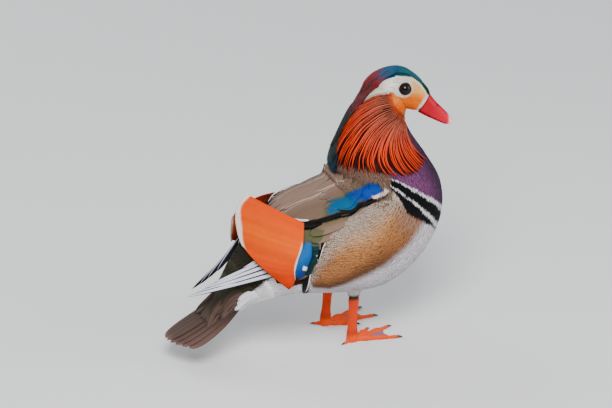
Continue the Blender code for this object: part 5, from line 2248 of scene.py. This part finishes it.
@dataclass
class Tail:
    """The fan of tail feathers.

    Attributes:
        root: Middle of the fan's root.
        slope: How steeply it falls, in radians.
        length: Length of the middle feathers.
        half_width: Half the fan's width.
        droop: How fast its sides fall away.
        feathers: Long feathers.
        colours: Base, sides, pale edges and shafts.
        short: Short feathers: reach of root and tip, height, how many, and half their spread.
        ring_coverts: Coverts: ring number of the roots, reach of the tips and how many.
    """

    plumage: Plumage
    root: tuple[float, float, float] = (-98, 0, 60)
    slope: float = math.radians(27.6)
    length: float = 82.0
    half_width: float = 29.0
    droop: float = 0.009
    feathers: int = 10
    colours: Line = ((62, 54, 46), (112, 92, 86), (146, 120, 116), (46, 38, 34))
    short: Line = ((4, 44, 3.4, 9, 12), (-8, 30, 5.4, 8, 11), (4, 40, -3.2, 9, 13), (-8, 26, -5.2, 8, 12))
    ring_coverts: Line = ((0.085, 44.0, 22), (0.125, 30.0, 26), (0.16, 14.0, 32), (0.195, 0.0, 36))

    def spot(self, reach: Array, side: Array, lift: Array) -> Array:
        """Points of the fan by reach from its root, distance to the left and height.

        Args:
            reach: Distances from the root.
            side: Distances to the left.
            lift: Heights.

        Returns:
            Points in the bird's axes.
        """
        high = lift - self.droop * side**2
        cos, sin = math.cos(self.slope), math.sin(self.slope)
        return np.array(self.root) + stack(-cos * reach - sin * high, side, cos * high - sin * reach)

    def build(self) -> None:
        """Makes the fan and its covering feathers."""
        mesh = FeatherMesh("tail_feathers")
        kind = FeatherKind(columns=11, rings=30, thick=0.4, camber=0.03, root=0.75, widest=0.5, point=5.0)
        rng = np.random.default_rng(9)
        s = np.linspace(0, 1, kind.rings)
        for place in np.linspace(-1, 1, self.feathers):
            reach = self.length * (1 - 0.15 * place**2) * (0.995 + 0.01 * rng.random())
            lateral = place * (8 + (self.half_width - 13) * np.sin(s * math.pi / 2) ** 0.8)
            lift = (1.6 - 2.8 * abs(place)) * s + 0.6
            self.feather(mesh, self.spot(reach * s, lateral, lift), place, 16.0, kind)
        short = FeatherKind(columns=7, rings=16, thick=0.4, camber=0.05, root=0.7, widest=0.45, point=3.0)
        s = np.linspace(0, 1, short.rings)
        for start, end, high, count, spread in self.short:
            for place in np.linspace(-1, 1, count):
                lateral = spread * place * (0.8 + 0.4 * s)
                path = self.spot(start + (end - start) * s, lateral, high * (1 - 0.75 * s))
                self.feather(mesh, path, place, 9.0, short, dark=0.8)
        finish = PlumageFinish("tail_feathers", barbs=0.14, rough=0.6).make()
        settle(mesh.build(finish), "tail", "tail")
        settle(self.coverts(rng).build(finish), "tail")

    def coverts(self, rng: Random) -> FeatherMesh:
        """The feathers that lead from the rump and the vent over the root of the fan.

        Args:
            rng: The scene's random source.

        Returns:
            Mesh of the feathers.
        """
        mesh = FeatherMesh("tail_coverts")
        kind = FeatherKind(columns=7, rings=16, thick=0.25, camber=0.12, root=0.7, widest=0.4, point=3.0)
        for first, reach, count in self.ring_coverts:
            angle = (np.arange(count) + 0.5) / count * 360 - 180 + rng.uniform(-2, 2, count)
            t = np.full(count, first)
            root, out = trunk_at(t, angle, -0.8), outward(trunk_at, t, angle)[:, None]
            ahead = unit(trunk_at(t - 0.01, angle) - trunk_at(t, angle))
            a = np.radians(angle)
            tip = self.spot(reach + rng.uniform(-2, 2, count), 19.0 * np.sin(a),
                            (1.6 + 7.0 * step(44.0, 0.0, reach)) * np.cos(a))
            span = np.linalg.norm(tip - root, axis=-1)[:, None, None]
            s = np.linspace(0, 1, kind.rings)[None, :, None]
            bend = root[:, None] + ahead[:, None] * span * 0.5
            path = (1 - s) ** 2 * root[:, None] + 2 * s * (1 - s) * bend + s**2 * tip[:, None] + out * 0.7
            colour = self.plumage.body(t, angle)[:, None] * rng.uniform(0.92, 1.06, (count, 1, 1))
            brown = step(0.3, 1.0, s[..., 0]) * 0.6 * (first < 0.14)
            colour = blend(colour, tone(100, 84, 77), brown)
            mesh.add(path, np.broadcast_to(out, path.shape), rng.uniform(9.0, 11.0, count), kind,
                     shaded(colour), place_uv(t, angle))
        return mesh

    def feather(self, mesh: FeatherMesh, path: Array, place: float, width: float, kind: FeatherKind,
                dark: float = 0.0) -> None:
        """Adds one tail feather, darker at its root and in the middle of the fan.

        Args:
            mesh: The fan's mesh.
            path: Points of the feather's middle.
            place: Its place in the fan, -1 on the right to 1 on the left.
            width: Its width.
            kind: Its shape.
            dark: How little it brightens towards its tip.
        """
        side = 1 if place > 0 else -1
        rise = unit(np.array([-math.sin(self.slope), 0.018 * path[-1, 1], math.cos(self.slope)]))
        base, brown, pale, shaft = self.colours
        outer, light = abs(place), 1 - dark

        def tint(share: Array, x: Array) -> Array:
            """Brown, paler at its inner edge and its tip, with a dark shaft.

            Args:
                share: Shares of the length, from root to tip.
                x: Places across the vane, from -1 to 1.

            Returns:
                A linear colour for each place.
            """
            return coated(
                tone(*base),
                (brown, step(0.1, 0.85, share) * (0.45 + 0.55 * outer) * light),
                (pale, step(0.0, 0.9, x * -side) * step(0.1, 0.6, share) * (0.2 + 0.5 * outer) * light),
                (pale, step(0.9, 1.0, share) * 0.5 * light),
                (shaft, step(0.09, 0.03, np.abs(x)) * 0.4),
            )

        mesh.add(path[None], np.broadcast_to(rise, path.shape)[None], width, kind, tint,
                 np.array([[0.5 + 0.03 * place, 0.01]]), roll=2 * side)


@dataclass
class Bill:
    """Both halves of the bill, parted along the mouth, in the head's own axes.

    Attributes:
        ridge: Base of the ridge.
        gape: Base of the mouth's line.
        tip_top: End of the ridge.
        tip_low: End of the mouth's line.
        half_widths: Half the width at places from base to tip.
        jaw_depths: Depth of the lower half there.
        gap: Distance ahead of the face.
        steps: Rings of each half.
        nostril: Middle of the left nostril.
    """

    ridge: tuple[float, float, float] = (23.9, 0, -1.4)
    gape: tuple[float, float, float] = (20.7, 0, -17.4)
    tip_top: tuple[float, float, float] = (53.8, 0, -17.6)
    tip_low: tuple[float, float, float] = (52.6, 0, -20.6)
    half_widths: tuple[float, ...] = (8.6, 8.3, 7.6, 7.0, 6.9, 6.4, 3.4)
    jaw_depths: tuple[float, ...] = (3.2, 3.0, 2.7, 2.4, 2.2, 1.9, 1.2)
    gap: float = 0.3
    steps: int = 44
    nostril: tuple[float, float, float] = (34.6, 5.7, -8.3)
    # Half of a ring's outline, and its underside, as shares of half the width and of the height.
    RIM = (
        (-1, 0), (-1, 0.12), (-0.99, 0.28), (-0.94, 0.45), (-0.86, 0.6), (-0.71, 0.76), (-0.5, 0.89),
        (-0.26, 0.97), (0, 1),
    )
    MOUTH = ((0.7, 0.02), (0.35, 0.05), (0, 0.06), (-0.35, 0.05), (-0.7, 0.02))

    def ring(self, low: Array, high: Array, half: Array, hollow: float = 1.0) -> Array:
        """Rings of the bill between lower and upper points, hollow or raised along the mouth.

        Args:
            low: Lower points, one for each ring.
            high: Upper points.
            half: Half widths.
            hollow: Factor on the depth of the mouth side, below 0 for a ridge.

        Returns:
            The rings.
        """
        rim, mouth = np.array(self.RIM), np.array(self.MOUTH) * (1, hollow)
        outline = np.concatenate([rim, (rim * (-1, 1))[-2::-1], mouth])
        spots = low[:, None] + (high - low)[:, None] * outline[None, :, 1:]
        spots[..., 0] += self.gap
        spots[..., 1] += outline[None, :, 0] * half[:, None]
        return spots

    def build(self) -> None:
        """Makes the upper and lower halves."""
        finish = SkinFinish("bill_horn", 0.36, coat=0.04, grain=700.0, gloss=0.16).make()
        s = np.linspace(0, 1, self.steps)
        half, deep = rows_at(stack(self.half_widths, self.jaw_depths), s).T
        ends = self.ridge, self.gape, self.tip_top, self.tip_low
        ridge, gape, top, under = (np.array(end, float) for end in ends)
        high = ridge + (top - ridge) * s[:, None]
        high[:, 2] += -1.6 * np.sin(math.pi * s) * (1 - s) + 1.1 * np.sin(math.pi * s) ** 3 * s
        low = gape + (under - gape) * s[:, None]
        low[:, 2] += -0.8 * np.sin(math.pi * s)
        spots = self.ring(low, high, half)
        ahead, _, up = self.nostril
        groove = np.exp(-((spots[..., 0] - ahead) / 4.0) ** 2 - ((spots[..., 2] - up + 0.2) / 1.8) ** 2)
        spots[..., 1] *= 1 - 0.10 * groove
        upper = tube_mesh("bill_upper_horn", from_head(spots), finish)
        self.pierce(upper)
        self.colour(upper)
        settle(upper, "bill", "bill_upper")
        base = low - np.array([0.25, 0, 0.4])
        jaw = self.ring(base, base - stack(0.6, 0, deep), half * 0.86, -4.5)[:-3]
        lower = tube_mesh("bill_lower_horn", from_head(jaw), finish)
        self.colour(lower)
        settle(lower, "bill", "bill_lower")

    def pierce(self, upper: Piece) -> None:
        """Cuts the nostrils.

        Args:
            upper: The upper half of the bill.
        """
        for side, _ in SIDES:
            hole = head_ball(self.nostril * np.array((1, side, 1)), "Y", 35, (2.3, 1.0, 1.2), 28, 16)
            run_modifier(upper, "BOOLEAN", operation="DIFFERENCE", object=hole, solver="MANIFOLD")
            discard(hole)

    def colour(self, piece: Piece) -> None:
        """Paints the horn: crimson, with a pale nail and a dark base line.

        Args:
            piece: A half of the bill.
        """
        spot = to_head(corners(piece))
        ahead, side, up = spot[:, 0], np.abs(spot[:, 1]), spot[:, 2]
        start, _, foot = self.gape
        reach = (ahead - start) / (self.tip_top[0] - start)
        hole = np.hypot(ahead - self.nostril[0], 1.4 * (up - self.nostril[2]))
        slant = ahead - start - (self.ridge[0] - start) * (up - foot) / (self.ridge[2] - foot)
        paint(piece, coated(
            tone(164, 4, 46),
            ((184, 14, 62), step(0.15, 0.75, reach)),
            ((196, 38, 80), np.exp(-(side / 2.2) ** 2) * 0.4),
            ((244, 196, 186), step(0.8, 0.93, reach + 0.02 * (4 - side))),
            # Painted shade: the horn darkens round each nostril.
            ((120, 10, 30), np.exp(-(hole / 1.7) ** 2) * (side < 5.9) * 0.9),
            ((110, 14, 30), step(1.6, 0.3, slant)),
        ))
        unwrap(piece, stack(0.2 + 0.012 * ahead, 0.5 + 0.012 * up + 0.004 * spot[:, 1]))


@dataclass
class Eyes:
    """Dark eyes in thin lids."""

    lid_thick: float = 0.42

    def build(self) -> None:
        """Makes both eyes and their lids."""
        glass = SkinFinish("eye_glass", 0.05, coat=0.04, depth=0.0, spread=0.05, gloss=0.2).make()
        rim = SkinFinish("eyelid_skin", 0.6).make()
        for side, word in SIDES:
            settle(self.ball(side, word, glass), "eye", f"eye_{word}")
            settle(self.lid(side, word, rim), "eye")

    def ball(self, side: int, word: str, finish: Material) -> Piece:
        """One eyeball with its pupil and dark brown iris.

        Args:
            side: 1 for the left side, -1 for the right one.
            word: The same side as a word.
            finish: Material of the piece.

        Returns:
            The eyeball.
        """
        piece = head_ball(EYE_SPOT * (1, side, 1), "X", 90, (EYE_RADIUS,) * 3, 64, 40)
        piece.name = piece.data.name = f"eyeball_{word}"
        piece.data.shade_smooth()
        piece.data.materials.append(finish)
        local = to_head(corners(piece)) - EYE_SPOT * (1, side, 1)
        away = np.hypot(local[:, 0], local[:, 2])
        paint(piece, blend(tone(6, 5, 6), tone(40, 22, 14), step(2.9, 3.5, away)))
        unwrap(piece, stack(0.5 + 0.05 * local[:, 0], 0.5 + 0.05 * local[:, 2]))
        return piece

    def lid(self, side: int, word: str, finish: Material) -> Piece:
        """One ring of lids.

        Args:
            side: 1 for the left side, -1 for the right one.
            word: The same side as a word.
            finish: Material of the piece.

        Returns:
            The lids.
        """
        turn = np.radians(np.arange(56) * 360 / 56)
        tilt = np.radians(np.arange(12) * 30)
        axis = np.array([0, side * math.cos(LID_TILT), math.sin(LID_TILT)])
        over = np.array([0, -side * math.sin(LID_TILT), math.cos(LID_TILT)])
        out = np.cos(turn)[:, None] * np.array([1, 0, 0]) + np.sin(turn)[:, None] * over
        centre = EYE_SPOT * (1, side, 1) + axis * LID_OUT
        slim = self.lid_thick * (1 + 0.12 * np.sin(turn * 2))
        ring = centre + out[:, None] * (LID_RING + slim[:, None] * np.cos(tilt)[None])[..., None]
        ring = ring + axis * (self.lid_thick * np.sin(tilt))[None, :, None]
        piece = tube_mesh(f"eyelids_{word}", from_head(ring), finish, closed=True)
        local = to_head(corners(piece)) - centre
        away = np.linalg.norm(local, axis=1)
        paint(piece, blend(tone(16, 13, 14), tone(70, 60, 58), step(LID_RING + 0.1, LID_RING + 0.5, away)))
        unwrap(piece, stack(0.5 + 0.05 * local[:, 0], 0.5 + 0.05 * local[:, 2]))
        return piece


@dataclass
class Leg:
    """Shank, webbed foot and claws of one leg.

    Attributes:
        side_word: The side in words.
        ankle: Middle of the ankle.
        root: Where the toes meet, on the floor.
        toes: Heading in degrees and length of each toe.
        foot_top: Height from which the shank leans to the ankle.
        scale: Length of a scale.
        shanks: Rings of the shank: height, half its depth and half its width.
    """

    side_word: str
    ankle: tuple[float, float, float]
    root: tuple[float, float, float]
    toes: dict[str, Sequence[float]]
    foot_top: float = 8.0
    scale: float = 1.9
    shanks: Line = (
        (44.7, 4.6, 3.3), (41, 5.2, 3.7), (35, 4.7, 3.3), (24, 4.3, 3.1), (16, 4.4, 3.2), (11, 5.0, 3.7),
        (6, 5.5, 4.4), (2.5, 5.6, 4.8), (0, 5.2, 4.6),
    )

    def line(self, heading: float, length: float, s: Array) -> Array:
        """Points on a toe's line on the floor."""
        a, reach = math.radians(heading), length * np.asarray(s)
        return self.root + stack(reach * math.cos(a), reach * math.sin(a), 0)

    def build(self) -> None:
        """Makes the leg's pieces."""
        finish = SkinFinish("leg_scales", 0.42, grain=1100.0, depth=0.0003, spread=0.2, gloss=0.16).make()
        leg = self.shank(finish)
        join(leg, *(self.toe(name, finish) for name in self.toes),
             self.web("outer", "middle", finish), self.web("middle", "inner", finish))
        leg.name = leg.data.name = f"leg_{self.side_word}"
        run_modifier(leg, "REMESH", mode="VOXEL", voxel_size=0.0006)
        run_modifier(leg, "SMOOTH", factor=0.5, iterations=3)
        points = corners(leg)
        points[:, 2] = np.where(points[:, 2] < 0.35, 0.0, points[:, 2])
        self.scales(points)
        put_corners(leg, points)
        leg.data.shade_smooth()
        self.colour(leg, points)
        settle(leg, "leg", f"shank_{self.side_word}", f"foot_{self.side_word}")
        horn = SkinFinish("claw_horn", 0.3, coat=0.2).make()
        for name, (heading, length) in self.toes.items():
            settle(self.claw(name, heading, length, horn), "claw", f"claw_{self.side_word}_{name}")

    def shank(self, finish: Material) -> Piece:
        """The shank, with its heel and the top of the foot.

        Args:
            finish: Material of the piece.

        Returns:
            The shank.
        """
        turn = np.radians(np.arange(36) * 10.0)
        root, rings = np.array(self.root), []
        for z, deep, wide in self.shanks:
            share = max(0.0, (z - self.foot_top) / (self.ankle[2] - self.foot_top))
            centre = root + (self.ankle - root) * share
            rings.append(stack(centre[0] + deep * np.cos(turn), centre[1] + wide * np.sin(turn), z))
        dense = rows_at(np.reshape(rings, (len(rings), -1)), np.linspace(0, 1, 40))
        return tube_mesh("shank", dense.reshape(40, 36, 3), finish)

    def toe(self, name: str, finish: Material) -> Piece:
        """One toe with swollen joints.

        Args:
            name: Name of the toe.
            finish: Material of the piece.

        Returns:
            The toe.
        """
        heading, length = self.toes[name]
        slim = 0.75 if name == "hind" else 1.0
        a = math.radians(heading)
        side = np.array([-math.sin(a), math.cos(a), 0])
        s = np.linspace(0, 1, 40)
        turn = np.linspace(0, math.pi, 13)
        swell = (1 + 0.14 * np.cos(2 * math.pi * 3 * s)) * slim * np.sqrt(np.clip((1.02 - s) * 14, 0, 1))
        half, tall = (3.0 - 1.5 * s) * swell, (6.2 - 3.6 * s**0.6) * swell
        centre = self.line(heading, length, s)
        arc = centre[:, None] + side * (half[:, None] * np.cos(turn)[None])[..., None]
        arc[..., 2] += 0.3 + tall[:, None] * np.sin(turn)[None] ** 0.8
        foot = arc[:, [-1, 0]].copy()
        foot[..., 2] = 0.0
        return tube_mesh("toe", np.concatenate([arc, foot], 1), finish)

    def web(self, first: str, second: str, finish: Material) -> Piece:
        """The web between two toes, with fine folds.

        Args:
            first: Name of one toe.
            second: Name of the other.
            finish: Material of the piece.

        Returns:
            The web.
        """
        a, b = self.toes[first], self.toes[second]
        u, v = grid(np.linspace(0.08, 1, 36), np.linspace(0, 1, 28))
        p, q = self.line(a[0], a[1] * 0.93, u), self.line(b[0], b[1] * 0.93, u)
        spot = p + (q - p) * v[..., None]
        root = np.array(self.root)
        spot = root + (spot - root) * (1 - 0.2 * np.sin(math.pi * v) * u)[..., None]
        x, y, _ = np.moveaxis(spot, -1, 0)
        return tube_mesh("web", shell(stack(x, y, 1.35 + 0.15 * np.sin(v * 40) * u), stack(x, y, 0)), finish)

    def distances(self, points: Array) -> tuple[Array, Array]:
        """Distance in plan to the nearest toe's line, and the place along it in millimetres.

        Args:
            points: Points in the bird's axes.

        Returns:
            The distances and the places.
        """
        best, place = np.full(len(points), 1e9), np.zeros(len(points))
        for heading, length in self.toes.values():
            a = math.radians(heading)
            way = np.array([math.cos(a), math.sin(a)])
            rel = points[:, :2] - np.array(self.root)[:2]
            along = np.clip(rel @ way, 0, length)
            away = np.linalg.norm(rel - along[:, None] * way, axis=1)
            nearer = away < best
            best, place = np.where(nearer, away, best), np.where(nearer, along, place)
        return best, place

    def scales(self, points: Array) -> None:
        """Raises the plates on the shank's front and the tops of the toes.

        Args:
            points: Points of the foot, which are moved.
        """
        away, along = self.distances(points)
        shank = points[:, 2] > 9
        phase = np.where(shank, points[:, 2], along) * 2 * math.pi / self.scale
        height = 0.16 * np.maximum(0, np.cos(phase)) ** 0.5
        top = (~shank) & (away < 2.4) & (points[:, 2] > 1.6)
        root, ankle = np.array(self.root)[:2], np.array(self.ankle)[:2]
        out = unit(points[:, :2] - root - (ankle - root) * ((points[:, 2:] - self.foot_top) / SHANK_RISE))
        points[:, :2] += np.where(shank[:, None], out * height[:, None], 0)
        points[:, 2] += np.where(top, height, 0)

    def colour(self, piece: Piece, points: Array) -> None:
        """Paints toes and shank orange and the webs grey-purple.

        Args:
            piece: The piece.
            points: Its points.
        """
        away, along = self.distances(points)
        high, dx, dy = points[:, 2], points[:, 0] - self.root[0], points[:, 1] - self.root[1]
        shank = step(5.5, 9.0, high)
        web = step(2.4, 3.8, away) * step(8.0, 13.0, np.hypot(dx, dy)) * (1 - shank)
        colours = blend(blend(tone(226, 100, 26), tone(146, 122, 134), web), tone(216, 84, 8) * 0.92, shank)
        phase = np.where(high > 9, high, along) * 2 * math.pi / self.scale
        colours = blend(colours, colours * 0.7, (0.5 - 0.5 * np.cos(phase)) ** 3 * 0.7)
        joint = np.exp(-((high - 10) / 3.0) ** 2) * (away < 7)
        paint(piece, coated(colours, ((166, 66, 30), joint * 0.6), ((96, 62, 48), step(41.6, 43.0, high))))
        unwrap(piece, stack(0.5 + 0.005 * dx, 0.5 + 0.005 * dy + 0.003 * high))

    def claw(self, name: str, heading: float, length: float, finish: Material) -> Piece:
        """One curved claw.

        Args:
            name: Name of its toe.
            heading: Direction in degrees.
            length: Length of the toe.
            finish: Material of the piece.

        Returns:
            The claw.
        """
        slim = 0.75 if name == "hind" else 1.0
        a = math.radians(heading)
        ahead, side = np.array([math.cos(a), math.sin(a), 0]), np.array([-math.sin(a), math.cos(a), 0])
        s = np.linspace(0, 1, 14)
        turn = np.radians(np.arange(16) * 22.5)
        size = (1.35 * (1 - s**1.6) + 0.12) * slim
        centre = self.line(heading, length, np.ones(14)) + ahead * (5.6 * slim * s - 0.5)[:, None]
        centre[:, 2] = 1.6 * slim - 1.15 * s**2 * slim
        rings = centre[:, None] + side * (size[:, None] * np.cos(turn) * 0.8)[..., None]
        rings[..., 2] += size[:, None] * np.sin(turn)
        rings[..., 2] = np.maximum(rings[..., 2], 0.02)
        piece = tube_mesh(f"claw_horn_{self.side_word}_{name}", rings, finish)
        share = np.repeat(s, 16)
        paint(piece, blend(tone(120, 92, 84), tone(34, 28, 28), step(0.0, 0.6, share)))
        unwrap(piece, stack(0.1 + 0.1 * share, 0.1 + 0.1 * np.tile(np.arange(16) / 16, 14)))
        return piece


@dataclass
class Studio:
    """Floor, lights and camera.

    Attributes:
        azimuth: Direction of the camera in radians, round from the bird's right side.
        elevation: Its height in radians.
        distance: Its distance.
        scale: Millimetres to a pixel of the photograph.
        aim: The frame's middle: how far right, up and towards the camera it lies.
        lamps: Name, place, size and power of each light, in metres and watts.
    """

    azimuth: float = math.radians(-21)
    elevation: float = math.radians(24)
    distance: float = 6000.0
    scale: float = 0.92
    aim: tuple[float, float, float] = (-31.3, 120.5, 57)
    lamps: tuple = (
        ("key_light", (-0.55, -1.3, 1.6), 0.9, 56.0), ("front_fill", (1.6, -1.0, 0.9), 1.2, 18.0),
        ("rear_fill", (-0.6, 1.6, 1.3), 1.2, 16.0),
    )

    def build(self) -> None:
        """Makes the studio."""
        self.floor()
        self.lights()
        self.camera()

    def floor(self) -> None:
        """A wide pale floor."""
        bpy.ops.object.select_all(action="DESELECT")
        bpy.ops.mesh.primitive_plane_add(size=12.0)
        plane = bpy.context.object
        plane.name = "floor"
        plane.data.materials.append(FloorFinish().make())

    def lights(self) -> None:
        """Soft light from above on the bird's right, a fill and the room."""
        world = bpy.context.scene.world or bpy.data.worlds.new("room")
        bpy.context.scene.world = world
        world.use_nodes = True
        sky = world.node_tree.nodes["Background"]
        sky.inputs[0].default_value, sky.inputs[1].default_value = (0.86, 0.92, 1.0, 1), 0.55
        for name, spot, size, power in self.lamps:
            light = bpy.data.lights.new(name, "AREA")
            light.energy, light.size = power, size
            lamp = bpy.data.objects.new(name, light)
            lamp.location = spot
            lamp.rotation_euler = (Vector((0, 0, 0.12)) - Vector(spot)).to_track_quat("-Z", "Y").to_euler()
            bpy.context.scene.collection.objects.link(lamp)

    def camera(self) -> None:
        """A long lens at the photograph's viewing angle."""
        a, e = self.azimuth, self.elevation
        back = np.array([math.sin(a) * math.cos(e), -math.cos(a) * math.cos(e), math.sin(e)])
        right = np.array([math.cos(a), math.sin(a), 0])
        up = np.cross(back, right)
        axes = np.stack([right, up, back], 1)
        spot = Vector(to_world(axes @ self.aim + back * self.distance))
        lens = bpy.data.cameras.new("camera")
        lens.lens = lens.sensor_width * self.distance / (PHOTO_SIZE[0] * self.scale)
        lens.clip_end = 50.0
        made = bpy.data.objects.new("camera", lens)
        made.matrix_world = Matrix.Translation(spot) @ Matrix(axes.tolist()).to_4x4()
        bpy.context.scene.collection.objects.link(made)
        bpy.context.scene.camera = made


def main() -> None:
    """Builds the bird and its studio."""
    logging.basicConfig(level=logging.INFO, format="%(name)s: %(message)s")
    Studio().build()
    plumage = Plumage()
    skin = Skin(plumage)
    skin.build()
    BodyCoat(plumage, skin).build()
    HeadCoat(plumage, skin).build()
    Ruff(skin).build()
    Crest(skin, plumage).build()
    for side, word in SIDES:
        Wing(plumage, side, word).build()
        Sail(side, word).build()
    Tail(plumage).build()
    Bill().build()
    Eyes().build()
    roots = ((5, -18.5, 0), (-5, 24, 0))
    toes = (
        {"outer": (-12, 43), "middle": (20, 44), "inner": (38, 27), "hind": (205, 11)},
        {"inner": (-22, 28), "middle": (0, 48), "outer": (26, 46), "hind": (155, 11)},
    )
    for (_, word), *places in zip(SIDES, skin.ankles, roots, toes):
        Leg(word, *places).build()


if __name__ == "__main__":
    main()
